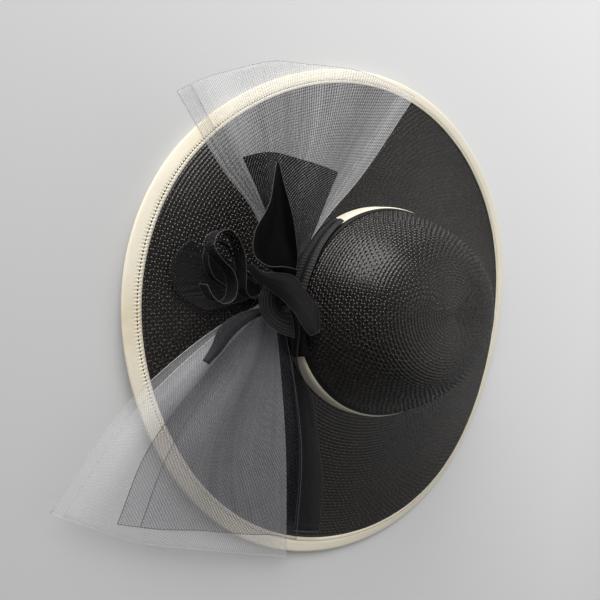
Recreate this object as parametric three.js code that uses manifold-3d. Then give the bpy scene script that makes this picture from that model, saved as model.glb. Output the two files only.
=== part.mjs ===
// Wide-brimmed straw hat with a cream edge binding and a crinoline net bow.
// Units are millimetres, +Z is up, and the hat stands on the edge of its brim.
// Heights below are measured from the mean plane of the brim's edge. The whole group is then
// shifted so that the origin is the bottom centre of the hat's bounding box.
// +X is the side away from the bow, and the crown is longer along X than along Y.

import * as THREE from 'three';
import { mergeVertices } from 'three/addons/utils/BufferGeometryUtils.js';
import Module from 'manifold-3d';

const wasm = await Module();
wasm.setup();

// Driving dimensions

const GAP = 0.3;
const SEWN_CLEARANCE = 0.1;
const STRAW_WALL = 1.4;
const RIBBON_WALL = 0.9;
const NET_WALL = 1.1;

const RIM_RADIUS = 205;
const BINDING_WIDTH = 12;
const BINDING_WALL = 0.7;
const BINDING_EASE = 0.45;
const BINDING_FOOT = 1.6;
const REST_LEVEL = -2.6;

const CROWN_CENTRE_Y = 4;
const CROWN_HALF_LENGTH = 100.6;
const CROWN_HALF_WIDTH = 85.9;
const JOIN_HEIGHT = 19.7;
const WALL_TOP = 31;
const CROWN_TOP = 88;
const DOME_SIDE_POWER = 4.5;
const DOME_TOP_POWER = 1.18;
const TOP_LENGTH_RATIO = 1.23;
const TOP_LEAN_X = -1;
const TOP_LEAN_Y = 4.4;
const WALL_DRAW_IN = 0.015;

const BAND_HEIGHT = 12.4;
const SASH_HEIGHT = 4;
const SASH_EASE = 0.45;
const GATHER_TOP = 40;
const GATHER_OFF = 3.4;

const AROUND_RIM = 78;
const AROUND_CROWN = 56;

// The colours seen on the hat, with their shine

const FINISH = {
  straw: { color: 0x16130f, roughness: 0.42 },
  binding: { color: 0xd9cfb4, roughness: 0.62 },
  ribbon: { color: 0xd6cbae, roughness: 0.6 },
  sash: { color: 0x141416, roughness: 0.5 },
  greyNet: { color: 0x8f8f90, roughness: 0.55 },
  paleNet: { color: 0xc9c3be, roughness: 0.55 },
  darkNet: { color: 0x4c4d52, roughness: 0.55 },
  blackNet: { color: 0x18171a, roughness: 0.5 },
};

const degrees = (value) => THREE.MathUtils.degToRad(value);
const lerp = THREE.MathUtils.lerp;

// Solids from rows of points

function solidFrom(points, triangles) {
  const geometry = new THREE.BufferGeometry();
  geometry.setAttribute('position', new THREE.Float32BufferAttribute(points.flat(), 3));
  geometry.setIndex(triangles.flat());
  const merged = mergeVertices(geometry, 1e-4);
  return pointOutward(merged);
}

// A closed mesh turned inside out has a negative volume, so its triangles are flipped.
function pointOutward(geometry) {
  const place = geometry.getAttribute('position');
  const index = geometry.getIndex();
  const a = new THREE.Vector3();
  const b = new THREE.Vector3();
  const c = new THREE.Vector3();
  let volume = 0;
  for (let i = 0; i < index.count; i += 3) {
    a.fromBufferAttribute(place, index.getX(i));
    b.fromBufferAttribute(place, index.getX(i + 1));
    c.fromBufferAttribute(place, index.getX(i + 2));
    volume += a.dot(b.cross(c));
  }
  if (volume < 0) {
    for (let i = 0; i < index.count; i += 3) {
      const first = index.getX(i);
      index.setX(i, index.getX(i + 1));
      index.setX(i + 1, first);
    }
  }
  return geometry;
}

// A ring whose closed section may change from angle to angle.
function ringSolid(sectionAt, steps) {
  const points = [];
  const triangles = [];
  let size = 0;
  for (let i = 0; i < steps; i++) {
    const section = sectionAt((2 * Math.PI * i) / steps);
    size = section.length;
    points.push(...section);
  }
  for (let i = 0; i < steps; i++) {
    const next = (i + 1) % steps;
    for (let j = 0; j < size; j++) {
      const after = (j + 1) % size;
      const a = i * size + j;
      const b = i * size + after;
      const c = next * size + after;
      const d = next * size + j;
      triangles.push([a, b, c], [a, c, d]);
    }
  }
  return solidFrom(points, triangles);
}

// A domed shell: an outer and an inner surface that meet in a rim, each closed at its own pole.
function domeSolid(outerRings, innerRings) {
  const rings = [...outerRings, ...innerRings.slice().reverse()];
  const size = outerRings[0].length;
  const outerPole = centreOf(outerRings[0]);
  const innerPole = centreOf(innerRings[0]);
  const points = [outerPole, ...rings.flat(), innerPole];
  const last = points.length - 1;
  const triangles = [];
  for (let j = 0; j < size; j++) {
    const after = (j + 1) % size;
    triangles.push([0, 1 + j, 1 + after]);
    for (let i = 0; i < rings.length - 1; i++) {
      const a = 1 + i * size + j;
      const b = 1 + i * size + after;
      triangles.push([a, a + size, b + size], [a, b + size, b]);
    }
    const end = 1 + (rings.length - 1) * size;
    triangles.push([end + j, last, end + after]);
  }
  return solidFrom(points, triangles);
}

function centreOf(ring) {
  const sum = ring.reduce((t, p) => [t[0] + p[0], t[1] + p[1], t[2] + p[2]], [0, 0, 0]);
  return sum.map((value) => value / ring.length);
}

// A sheet of even thickness through a grid of centre points, grid[row][column].
function sheetSolid(grid, wall) {
  const rows = grid.length;
  const columns = grid[0].length;
  const at = (i, j) => new THREE.Vector3(...grid[i][j]);
  const points = [];
  for (const side of [0.5, -0.5]) {
    for (let i = 0; i < rows; i++) {
      for (let j = 0; j < columns; j++) {
        const along = at(Math.min(i + 1, rows - 1), j).sub(at(Math.max(i - 1, 0), j));
        const across = at(i, Math.min(j + 1, columns - 1)).sub(at(i, Math.max(j - 1, 0)));
        const normal = along.cross(across).normalize();
        points.push(at(i, j).addScaledVector(normal, side * wall).toArray());
      }
    }
  }
  const top = (i, j) => i * columns + j;
  const under = (i, j) => rows * columns + i * columns + j;
  const triangles = [];
  for (let i = 0; i < rows - 1; i++) {
    for (let j = 0; j < columns - 1; j++) {
      triangles.push([top(i, j), top(i + 1, j), top(i + 1, j + 1)]);
      triangles.push([top(i, j), top(i + 1, j + 1), top(i, j + 1)]);
      triangles.push([under(i, j), under(i + 1, j + 1), under(i + 1, j)]);
      triangles.push([under(i, j), under(i, j + 1), under(i + 1, j + 1)]);
    }
  }
  const wallBetween = (i0, j0, i1, j1) => {
    triangles.push([top(i0, j0), top(i1, j1), under(i1, j1)]);
    triangles.push([top(i0, j0), under(i1, j1), under(i0, j0)]);
  };
  for (let j = 0; j < columns - 1; j++) {
    wallBetween(0, j, 0, j + 1);
    wallBetween(rows - 1, j + 1, rows - 1, j);
  }
  for (let i = 0; i < rows - 1; i++) {
    wallBetween(i + 1, 0, i, 0);
    wallBetween(i, columns - 1, i + 1, columns - 1);
  }
  return solidFrom(points, triangles);
}

// The outline of the brim and the crown

// The brim's edge isn't quite round: three shallow lobes, and five shallower ones.
const RIM_LOBES = [
  { count: 3, depth: 3.4, towards: 54.7 },
  { count: 5, depth: 1.0, towards: 21.8 },
];

// The edge also rises and falls, and it turns down where it falls.
const RIM_WAVES = [
  { count: 2, rise: 3.84, towards: 37.6 },
  { count: 3, rise: 1.2, towards: -50.8 },
];
const EDGE_TURN = 7;
const EDGE_TURN_SWING = 13.7;

function rimRadius(angle) {
  const lobes = RIM_LOBES.map((l) => l.depth * Math.cos(l.count * (angle - degrees(l.towards))));
  return RIM_RADIUS + lobes.reduce((a, b) => a + b, 0);
}

function rimHeight(angle) {
  const waves = RIM_WAVES.map((w) => w.rise * Math.cos(w.count * (angle - degrees(w.towards))));
  return Math.max(REST_LEVEL, waves.reduce((a, b) => a + b, 0));
}

// The slope of the last stretch of the brim, positive where the edge turns down.
function edgeSlope(angle) {
  return degrees(EDGE_TURN - EDGE_TURN_SWING * Math.sin(2 * angle));
}

// A point near the brim's edge: inward along the sloping brim, and out of its surface.
function edgePoint(angle, inward, above) {
  const slope = edgeSlope(angle);
  const radius = rimRadius(angle) - inward * Math.cos(slope) + above * Math.sin(slope);
  const height = rimHeight(angle) + inward * Math.sin(slope) + above * Math.cos(slope);
  return [radius * Math.cos(angle), radius * Math.sin(angle), height];
}

// An oval around the crown's axis, with its half width along Y and its half length along X.
function ovalPoint(angle, halfWidth, halfLength, height) {
  return [halfLength * Math.cos(angle), CROWN_CENTRE_Y + halfWidth * Math.sin(angle), height];
}

// The crown's outer surface: a wall to WALL_TOP, then a dome whose top leans a little to one side.
function crownPoint(angle, height, outward) {
  const climb = THREE.MathUtils.clamp((height - JOIN_HEIGHT) / (WALL_TOP - JOIN_HEIGHT), 0, 1);
  const rise = THREE.MathUtils.clamp((height - WALL_TOP) / (CROWN_TOP - WALL_TOP), 0, 1);
  const share = Math.pow(1 - Math.pow(rise, 1 / DOME_TOP_POWER), 1 / DOME_SIDE_POWER);
  const ratio = lerp(CROWN_HALF_LENGTH / CROWN_HALF_WIDTH, TOP_LENGTH_RATIO, rise);
  const halfWidth = CROWN_HALF_WIDTH * share * (1 - WALL_DRAW_IN * climb);
  const [x, y, z] = ovalPoint(angle, halfWidth + outward, halfWidth * ratio + outward, height);
  return [x + TOP_LEAN_X * rise, y + TOP_LEAN_Y * rise, z];
}

// Straw crown: a dome of sewn braid

const DOME_STEPS = 9;

function crownGeometry() {
  const outer = [];
  const inner = [];
  const ring = (height, inset) => {
    const points = [];
    for (let i = 0; i < AROUND_CROWN; i++) {
      points.push(crownPoint((2 * Math.PI * i) / AROUND_CROWN, height, inset));
    }
    return points;
  };
  for (let i = 1; i <= DOME_STEPS; i++) {
    const share = Math.sin((i / DOME_STEPS) * Math.PI * 0.5);
    const rise = Math.pow(1 - Math.pow(share, DOME_SIDE_POWER), DOME_TOP_POWER);
    const height = lerp(WALL_TOP, CROWN_TOP, rise);
    outer.push(ring(height, 0));
    inner.push(ring(height, -STRAW_WALL).map(([x, y, z]) => [x, y, z - STRAW_WALL * (1 - share ** 4)]));
  }
  const foot = JOIN_HEIGHT - STRAW_WALL / 2;
  outer.push(ring(foot, 0));
  inner.push(ring(foot, -STRAW_WALL));
  return domeSolid(outer, inner);
}

// Straw brim: a shallow dish that runs into the straight edge inside the binding

const BRIM_STEPS = 5;
const BRIM_LEAVES_CROWN_AT = 8;
const BRIM_TUCK = BINDING_WALL + GAP + 0.5;

function brimCentre(angle, share) {
  const clear = GAP + SEWN_CLEARANCE;
  const from = ovalPoint(angle, CROWN_HALF_WIDTH + clear, CROWN_HALF_LENGTH + clear, JOIN_HEIGHT);
  const to = edgePoint(angle, BINDING_WIDTH + 1, 0);
  const run = Math.hypot(to[0] - from[0], to[1] - from[1]);
  const startFall = -Math.tan(degrees(BRIM_LEAVES_CROWN_AT)) * run;
  const endFall = -Math.tan(edgeSlope(angle)) * run;
  const s = share;
  const height =
    from[2] * (2 * s ** 3 - 3 * s ** 2 + 1) +
    to[2] * (3 * s ** 2 - 2 * s ** 3) +
    startFall * (s ** 3 - 2 * s ** 2 + s) +
    endFall * (s ** 3 - s ** 2);
  return [lerp(from[0], to[0], s), lerp(from[1], to[1], s), height];
}

function brimGeometry() {
  return ringSolid((angle) => {
    const upper = [];
    const lower = [];
    for (let i = 0; i <= BRIM_STEPS; i++) {
      const [x, y, z] = brimCentre(angle, i / BRIM_STEPS);
      upper.push([x, y, z + STRAW_WALL / 2]);
      lower.push([x, y, z - STRAW_WALL / 2]);
    }
    upper.push(edgePoint(angle, BRIM_TUCK, STRAW_WALL / 2));
    lower.push(edgePoint(angle, BRIM_TUCK, -STRAW_WALL / 2));
    return [...upper, ...lower.reverse()];
  }, AROUND_RIM);
}

// Cream binding: a tape folded over the brim's edge, with a flat foot where the hat rests

const FOLD_ROUND_TOP = 1.4;
const FOLD_ROUND_FOOT = 0.5;
const FOLD_WALL = BINDING_WALL + 0.2;
const FOLD_NOSE = 0.4;

function bindingGeometry() {
  const hollow = STRAW_WALL / 2 + BINDING_EASE;
  const skin = hollow + BINDING_WALL;
  return ringSolid((angle) => {
    const heel = edgePoint(angle, FOLD_ROUND_FOOT, -skin);
    heel[2] = rimHeight(angle) - skin;
    const shorten = 1 - BINDING_FOOT / Math.hypot(heel[0], heel[1]);
    const toe = [heel[0] * shorten, heel[1] * shorten, heel[2]];
    return [
      edgePoint(angle, BINDING_WIDTH, skin),
      edgePoint(angle, FOLD_ROUND_TOP, skin),
      edgePoint(angle, 0, skin * FOLD_NOSE),
      heel,
      toe,
      edgePoint(angle, BINDING_WIDTH, -skin),
      edgePoint(angle, BINDING_WIDTH, -hollow),
      edgePoint(angle, FOLD_WALL, -hollow),
      edgePoint(angle, FOLD_WALL, hollow),
      edgePoint(angle, BINDING_WIDTH, hollow),
    ];
  }, AROUND_RIM);
}

// Bands around the foot of the crown

const BAND_FOOT = JOIN_HEIGHT + STRAW_WALL / 2 + GAP;
const BAND_TOP = BAND_FOOT + BAND_HEIGHT;

// A band that follows the crown's surface through a few heights.
function crownRing(heights, ease) {
  return ringSolid((angle) => {
    const inner = heights.map((height) => crownPoint(angle, height, ease));
    const outer = heights.map((height) => crownPoint(angle, height, ease + RIBBON_WALL));
    return [...inner, ...outer.reverse()];
  }, AROUND_CROWN);
}

function crownBandGeometry() {
  return crownRing([BAND_FOOT, WALL_TOP, BAND_TOP], GAP);
}

function crownSashGeometry() {
  const foot = BAND_TOP + GAP;
  return crownRing([foot, foot + SASH_HEIGHT], SASH_EASE);
}

// Folds of net over both bands on the bow's side

const GATHER_END_TOP = 33;
const GATHER_RISES_WITHIN = 0.4;
const GATHER_FROM = 133;
const GATHER_TO = 206;
const GATHER_COLUMNS = 14;
const GATHER_ROWS = 6;
const GATHER_LIFT = 0.6;
const GATHER_PLEATS = 2.5;
const GATHER_PLEAT_DEPTH = 0.5;

function sashGatherGeometry() {
  const grid = [];
  for (let i = 0; i <= GATHER_ROWS; i++) {
    const share = i / GATHER_ROWS;
    const row = [];
    for (let j = 0; j <= GATHER_COLUMNS; j++) {
      const across = j / GATHER_COLUMNS;
      const angle = degrees(lerp(GATHER_FROM, GATHER_TO, across));
      const top = lerp(GATHER_END_TOP, GATHER_TOP, Math.min(1, across / GATHER_RISES_WITHIN));
      const height = lerp(BAND_FOOT + GATHER_LIFT, top, share);
      const pleat = GATHER_PLEAT_DEPTH * Math.cos(share * 2 * Math.PI * GATHER_PLEATS);
      row.push(crownPoint(angle, height, GATHER_OFF + pleat));
    }
    grid.push(row);
  }
  return sheetSolid(grid, NET_WALL);
}

// Sheets of crinoline net

// A curve through a few points, as a smooth spline.
function smoothCurve(points) {
  return new THREE.CatmullRomCurve3(points.map((p) => new THREE.Vector3(...p)), false, 'centripetal');
}

// A fan: each rib runs from the knot to the fan's edge, and the net spans from rib to rib.
function fanSolid(ribs, along, across) {
  const lines = ribs.map((rib) => smoothCurve([rib.root, rib.low, rib.middle, rib.tip]));
  const grid = [];
  for (let i = 0; i <= along; i++) {
    const ring = smoothCurve(lines.map((line) => line.getPoint(i / along).toArray()));
    const row = [];
    for (let j = 0; j <= across; j++) {
      row.push(ring.getPoint(j / across).toArray());
    }
    grid.push(row);
  }
  return sheetSolid(grid, NET_WALL);
}

// A ribbon between two edges, with its middle raised by the bulge.
function ribbonSolid(stations, along, across, bulge) {
  const left = smoothCurve(stations.map((s) => s.left));
  const right = smoothCurve(stations.map((s) => s.right));
  const grid = [];
  for (let i = 0; i <= along; i++) {
    const a = left.getPoint(i / along);
    const b = right.getPoint(i / along);
    const row = [];
    for (let j = 0; j <= across; j++) {
      const share = j / across;
      const point = a.clone().lerp(b, share);
      point.z += bulge * Math.sin(Math.PI * share);
      row.push(point.toArray());
    }
    grid.push(row);
  }
  return sheetSolid(grid, NET_WALL);
}

// A ribbon that stands on its edge along a curling path.
function standingRibbon(path, along) {
  const foot = smoothCurve(path.map((p) => [p.x, p.y, p.low]));
  const head = smoothCurve(path.map((p) => [p.x, p.y, p.high]));
  const grid = [];
  for (let i = 0; i <= along; i++) {
    const a = foot.getPoint(i / along);
    const b = head.getPoint(i / along);
    grid.push([a.toArray(), a.clone().lerp(b, 0.5).toArray(), b.toArray()]);
  }
  return sheetSolid(grid, NET_WALL);
}

const UPPER_FAN = [
  { root: [-119, 19, 33], low: [-141, 56, 35], middle: [-169, 78, 38], tip: [-203, 110, 44] },
  { root: [-118, 19, 33.5], low: [-138, 62, 38], middle: [-163, 89, 43], tip: [-192, 119, 49] },
  { root: [-117, 19, 33.5], low: [-133, 66, 36], middle: [-153, 99, 39], tip: [-172, 134, 43] },
  { root: [-116, 19, 33.5], low: [-126, 68, 39], middle: [-136, 107, 44], tip: [-151, 145, 50] },
  { root: [-115, 19, 33.5], low: [-117, 67, 37], middle: [-117, 109, 40], tip: [-120, 158, 43] },
  { root: [-114, 19, 33.5], low: [-106, 66, 39], middle: [-98, 110, 44], tip: [-88, 165, 49] },
  { root: [-113, 19, 33.5], low: [-96, 64, 38], middle: [-78, 107, 41], tip: [-48, 172, 44] },
  { root: [-112, 19, 33.5], low: [-87, 64, 38], middle: [-61, 101, 41], tip: [-22, 171, 46] },
];

const LOWER_BACK = [
  { root: [-121, 1, 23], low: [-159, -24, 22], middle: [-205, -73, 17], tip: [-234, -131, 9] },
  { root: [-119.5, 0, 23], low: [-148, -31, 25], middle: [-188, -86, 21], tip: [-212, -142, 12] },
  { root: [-118, 0, 23], low: [-137, -36, 22], middle: [-168, -91, 17], tip: [-183, -158, 9] },
  { root: [-116, 0, 23], low: [-126, -39, 25], middle: [-147, -99, 22], tip: [-140, -170, 13] },
  { root: [-114, 0, 23], low: [-116, -40, 22], middle: [-121, -103, 17], tip: [-92, -186, 9] },
  { root: [-112, 1, 23], low: [-101, -42, 24], middle: [-85, -105, 21], tip: [-66, -192, 12] },
];

const LOWER_FRONT = [
  { root: [-121, 0, 31], low: [-152, -36, 31], middle: [-188, -91, 27], tip: [-199, -139, 19] },
  { root: [-119, -1, 31], low: [-139, -36, 34], middle: [-164, -92, 32], tip: [-174, -144, 25] },
  { root: [-117, -1, 31], low: [-128, -39, 31], middle: [-140, -94, 28], tip: [-145, -153, 19] },
  { root: [-116, -1, 31], low: [-118, -41, 34], middle: [-121, -97, 32], tip: [-117, -158, 25] },
  { root: [-114, -1, 31], low: [-106, -42, 32], middle: [-100, -100, 28], tip: [-82, -169, 19] },
  { root: [-112, 0, 31], low: [-97, -43, 34], middle: [-78, -103, 31], tip: [-66, -174, 22] },
];

const NET_STRIP = [
  { left: [-111, 4, 38], right: [-109, 5, 39.5] },
  { left: [-103.5, -11, 38], right: [-99.5, -12, 39.5] },
  { left: [-97.5, -30, 31.5], right: [-94.5, -36, 35] },
  { left: [-81, -69, 21], right: [-66, -69, 22] },
  { left: [-71, -100, 18], right: [-53, -101, 18] },
  { left: [-64, -132, 14], right: [-40, -136, 14] },
  { left: [-57, -176, 7], right: [-31, -181, 7] },
];

const PETAL_BACK = [
  { root: [-118, 16, 39], low: [-131, 45, 43], middle: [-147, 66, 48], tip: [-164, 83, 54] },
  { root: [-117, 17, 39], low: [-126, 45, 44], middle: [-142, 67, 51], tip: [-155, 87, 60] },
  { root: [-116, 17.5, 39], low: [-121, 46, 44], middle: [-134, 69, 50], tip: [-141, 91, 57] },
  { root: [-115, 17.5, 39], low: [-115, 45, 45], middle: [-123, 71, 51], tip: [-130, 90, 61] },
  { root: [-113.5, 17, 39], low: [-108, 45, 44], middle: [-111, 71, 50], tip: [-112, 92, 57] },
  { root: [-112, 16, 39], low: [-103, 46, 45], middle: [-98, 74, 51], tip: [-97, 91, 58] },
];

// The open curl of the bow, like a lily: its ribs fan round from the right edge to the lower lip.
const CURL = [
  { root: [-114, 13, 39.5], low: [-113, 22, 46], middle: [-114, 28, 49], tip: [-116, 34, 51.5] },
  { root: [-115, 13, 39.5], low: [-116, 24, 46], middle: [-121, 37, 50], tip: [-127, 54, 58] },
  { root: [-115.5, 13, 39.5], low: [-120, 25, 46], middle: [-129, 46, 52], tip: [-141, 73, 64] },
  { root: [-116, 13, 39.5], low: [-123, 25, 46], middle: [-134, 49, 54], tip: [-149, 82, 68] },
  { root: [-116.5, 12.5, 39.5], low: [-125, 24, 46], middle: [-138, 42, 54], tip: [-151, 58, 68] },
  { root: [-117, 12, 39.5], low: [-126, 22, 46], middle: [-140, 33, 53], tip: [-157, 40, 66] },
  { root: [-117.5, 11.5, 39.5], low: [-126, 19, 46.5], middle: [-139, 26, 52], tip: [-155, 28, 65] },
  { root: [-117.5, 10.5, 39.5], low: [-124, 17, 48], middle: [-134, 21, 54], tip: [-146, 23, 65.5] },
  { root: [-117, 10, 39.5], low: [-120, 16, 49], middle: [-126, 20, 56], tip: [-134, 24, 65] },
  { root: [-116, 9.5, 39.5], low: [-115.5, 15.5, 49], middle: [-118, 20, 55], tip: [-122, 24, 61] },
];

// The ribbon that turns out of the curl and hangs beside the crown.
const CURL_TAIL = [
  { left: [-156, 22, 58], right: [-154, 23.3, 61.9] },
  { left: [-148, 14.5, 57], right: [-146, 19.3, 62.5] },
  { left: [-135, 9, 55.5], right: [-134, 20.4, 61.6] },
  { left: [-123, 3, 54], right: [-121, 19.8, 57.8] },
  { left: [-113, -4, 53], right: [-104.5, 10, 52] },
  { left: [-105, -12, 52], right: [-94, 2, 51] },
  { left: [-98, -17, 51], right: [-90.5, -12, 51] },
];

const ROLL = [
  { left: [-132, 14, 42], right: [-118, 10, 40.5] },
  { left: [-135, 3, 42], right: [-118, 5, 40] },
  { left: [-130, -9, 42], right: [-117, 2, 39] },
  { left: [-117, -17, 42], right: [-114, 1, 38] },
  { left: [-104, -20, 42], right: [-112, 3, 39] },
];

const LOOP_UPPER = [
  { x: -122, y: 10, low: 27, high: 33 },
  { x: -130, y: 5, low: 28, high: 37 },
  { x: -138, y: 3, low: 28.5, high: 40 },
  { x: -145, y: 7, low: 29, high: 43 },
  { x: -147, y: 18, low: 29, high: 44 },
  { x: -150, y: 30, low: 29, high: 44 },
  { x: -156, y: 39, low: 29, high: 44 },
  { x: -162, y: 42, low: 29, high: 44 },
  { x: -169, y: 38, low: 29, high: 44 },
  { x: -170, y: 31, low: 29, high: 44 },
  { x: -164, y: 24, low: 29, high: 44 },
  { x: -156, y: 18, low: 29, high: 44 },
  { x: -152, y: 9, low: 29, high: 44 },
  { x: -153, y: 1, low: 29, high: 43 },
  { x: -159, y: -2, low: 29, high: 43 },
  { x: -166, y: 1, low: 29, high: 43 },
  { x: -171, y: 8, low: 29, high: 42 },
];

const LOOP_LOWER = [
  { x: -121, y: 13, low: 22, high: 26 },
  { x: -129, y: 16, low: 21.3, high: 26.5 },
  { x: -140, y: 22, low: 20.3, high: 27 },
  { x: -152, y: 34, low: 19, high: 27.5 },
  { x: -162, y: 36, low: 18.5, high: 27.5 },
  { x: -166, y: 27, low: 18.5, high: 27.5 },
  { x: -161, y: 14, low: 18.5, high: 27.5 },
  { x: -150, y: 8, low: 19, high: 27.5 },
];

const PETAL_LEFT = [
  { root: [-120, 12, 21.5], low: [-140, 23, 18], middle: [-158, 30, 16], tip: [-175, 35, 16] },
  { root: [-120.5, 11, 21.5], low: [-142, 18, 17.5], middle: [-163, 22, 15], tip: [-182, 24, 13.5] },
  { root: [-121, 10, 21.5], low: [-142, 13, 17], middle: [-163, 13, 14.5], tip: [-183, 12, 12] },
  { root: [-121, 9, 21.5], low: [-141, 8, 17], middle: [-159, 5, 14.5], tip: [-177, 1, 12] },
  { root: [-120.5, 8, 21.5], low: [-139, 3, 17.5], middle: [-154, -1, 15.5], tip: [-168, -4, 13.5] },
  { root: [-120, 7, 21.5], low: [-137, -1, 17.5], middle: [-148, -5, 16], tip: [-158, -8, 15.5] },
];

const TAIL_LEFT = [
  { left: [-121, 4, 35], right: [-119, 1, 35.5] },
  { left: [-129, -2, 36], right: [-126, -6, 36.5] },
  { left: [-138, -5, 36], right: [-134, -10, 37.5] },
  { left: [-151, -9, 36], right: [-142, -16, 37.5] },
  { left: [-162, -16, 35], right: [-148, -23, 37] },
  { left: [-162, -26, 35], right: [-152, -31, 36.5] },
  { left: [-165, -37, 35], right: [-158, -39, 36] },
];

// The knot: a wrapped bundle of net between the bow and the crown

const KNOT_CENTRE = [-117, 10, 30.5];
const KNOT_HALF = [10.6, 14, 12.4];
const KNOT_FOLDS = 7;
const KNOT_FOLD_DEPTH = 0.03;
const KNOT_SIDES = 20;
const KNOT_RINGS = 12;

// The knot itself has shallow folds, and the smooth form grown by the extra is what its neighbours clear.
function knotGeometry(extra) {
  const shape = new THREE.SphereGeometry(1, KNOT_SIDES, KNOT_RINGS);
  shape.deleteAttribute('normal');
  shape.deleteAttribute('uv');
  const merged = mergeVertices(shape, 1e-4);
  const place = merged.getAttribute('position');
  for (let i = 0; i < place.count; i++) {
    const [x, y, z] = [place.getX(i), place.getY(i), place.getZ(i)];
    const crease = KNOT_FOLD_DEPTH * (1 + Math.cos(KNOT_FOLDS * Math.atan2(z, x)));
    const fold = extra > 0 ? 1 : 1 - crease;
    place.setXYZ(
      i,
      KNOT_CENTRE[0] + x * (KNOT_HALF[0] * fold + extra),
      KNOT_CENTRE[1] + y * (KNOT_HALF[1] + extra),
      KNOT_CENTRE[2] + z * (KNOT_HALF[2] * fold + extra),
    );
  }
  return pointOutward(merged);
}

// One solid cut by another

function toManifold(geometry) {
  const triVerts = new Uint32Array(geometry.getIndex().array);
  const vertProperties = new Float32Array(geometry.getAttribute('position').array);
  return new wasm.Manifold(new wasm.Mesh({ numProp: 3, vertProperties, triVerts }));
}

function fromManifold(solid) {
  const mesh = solid.getMesh();
  const geometry = new THREE.BufferGeometry();
  geometry.setAttribute('position', new THREE.BufferAttribute(new Float32Array(mesh.vertProperties), 3));
  geometry.setIndex(new THREE.BufferAttribute(new Uint32Array(mesh.triVerts), 1));
  return geometry;
}

// Each net piece is trimmed where it meets the knot, which leaves the usual gap around it.
function trimmedAtKnot(geometry) {
  const keepOut = toManifold(knotGeometry(GAP));
  return fromManifold(toManifold(geometry).subtract(keepOut));
}

// The hat

const group = new THREE.Group();

function add(name, geometry, finish) {
  const material = new THREE.MeshStandardMaterial({ ...FINISH[finish], metalness: 0 });
  const mesh = new THREE.Mesh(geometry, material);
  mesh.name = name;
  group.add(mesh);
}

add('crown', crownGeometry(), 'straw');
add('brim', brimGeometry(), 'straw');
add('brim_binding', bindingGeometry(), 'binding');
add('crown_band', crownBandGeometry(), 'ribbon');
add('crown_sash', crownSashGeometry(), 'sash');
add('sash_gather', sashGatherGeometry(), 'sash');
add('bow_knot', knotGeometry(0), 'sash');
add('upper_net_fan', trimmedAtKnot(fanSolid(UPPER_FAN, 6, 14)), 'greyNet');
add('lower_net_back', trimmedAtKnot(fanSolid(LOWER_BACK, 6, 12)), 'paleNet');
add('lower_net_front', trimmedAtKnot(fanSolid(LOWER_FRONT, 6, 12)), 'darkNet');
add('net_strip', trimmedAtKnot(ribbonSolid(NET_STRIP, 10, 3, 1)), 'blackNet');
add('bow_petal_back', trimmedAtKnot(fanSolid(PETAL_BACK, 5, 10)), 'blackNet');
add('bow_curl', trimmedAtKnot(fanSolid(CURL, 5, 16)), 'blackNet');
add('bow_curl_tail', trimmedAtKnot(ribbonSolid(CURL_TAIL, 11, 3, 2)), 'blackNet');
add('bow_roll', trimmedAtKnot(ribbonSolid(ROLL, 9, 3, 2.5)), 'blackNet');
add('bow_loop_upper', trimmedAtKnot(standingRibbon(LOOP_UPPER, 30)), 'blackNet');
add('bow_loop_lower', trimmedAtKnot(standingRibbon(LOOP_LOWER, 14)), 'blackNet');
add('bow_petal_left', trimmedAtKnot(fanSolid(PETAL_LEFT, 5, 8)), 'blackNet');
add('bow_tail_left', trimmedAtKnot(ribbonSolid(TAIL_LEFT, 8, 3, 1.5)), 'blackNet');

const box = new THREE.Box3().setFromObject(group);
const middle = box.getCenter(new THREE.Vector3());
group.position.set(-middle.x, -middle.y, -box.min.z);
group.updateMatrixWorld(true);

export default group;
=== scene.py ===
# %% [markdown]
# A straw hat with a net bow
#
# This lesson dresses a hat for its picture. The crown and the brim are sewn from one long plait of
# dark glossy straw. A cream tape binds the edge, a cream ribbon runs round the foot of the crown,
# and a bow of stiff crinoline net sits at one side, with sheer fans above and below it.
# The solid parts of the hat are loaded first. Each one is then replaced by a finer piece.

# %% Load the solid hat
import math

import bmesh
import bpy
import numpy as np
from mathutils import Matrix, Vector


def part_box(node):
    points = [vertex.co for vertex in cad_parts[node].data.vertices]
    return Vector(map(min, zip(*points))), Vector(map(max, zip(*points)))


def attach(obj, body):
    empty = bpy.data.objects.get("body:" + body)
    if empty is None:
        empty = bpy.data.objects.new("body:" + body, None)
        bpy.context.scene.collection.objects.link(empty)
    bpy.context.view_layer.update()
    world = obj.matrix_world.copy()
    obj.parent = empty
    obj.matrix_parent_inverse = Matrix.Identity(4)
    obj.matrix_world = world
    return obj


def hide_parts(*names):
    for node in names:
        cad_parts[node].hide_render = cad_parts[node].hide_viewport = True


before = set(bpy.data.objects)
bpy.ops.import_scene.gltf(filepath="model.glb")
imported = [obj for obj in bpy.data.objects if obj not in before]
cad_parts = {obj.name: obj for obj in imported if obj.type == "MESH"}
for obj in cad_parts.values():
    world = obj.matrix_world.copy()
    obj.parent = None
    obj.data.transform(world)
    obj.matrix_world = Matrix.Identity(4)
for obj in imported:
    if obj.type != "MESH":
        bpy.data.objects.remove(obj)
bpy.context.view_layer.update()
print("the solid hat has", len(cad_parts), "pieces")

# %% [markdown]
# The formulas of the hat work in millimetres, from the middle of the brim's edge upwards. The crown
# of the loaded model tells where that middle is, because its foot is a plain oval.

# %% The hat's own place
MM = 0.001
STRAW_WALL = 1.4
JOIN_HEIGHT = 19.7
CROWN_CENTRE_Y = 4.0

crown_low, crown_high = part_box("crown")
HAT_PLACE = np.array([
    (crown_low[0] + crown_high[0]) / 2,
    (crown_low[1] + crown_high[1]) / 2 - CROWN_CENTRE_Y * MM,
    crown_low[2] - (JOIN_HEIGHT - STRAW_WALL / 2) * MM,
])


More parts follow.
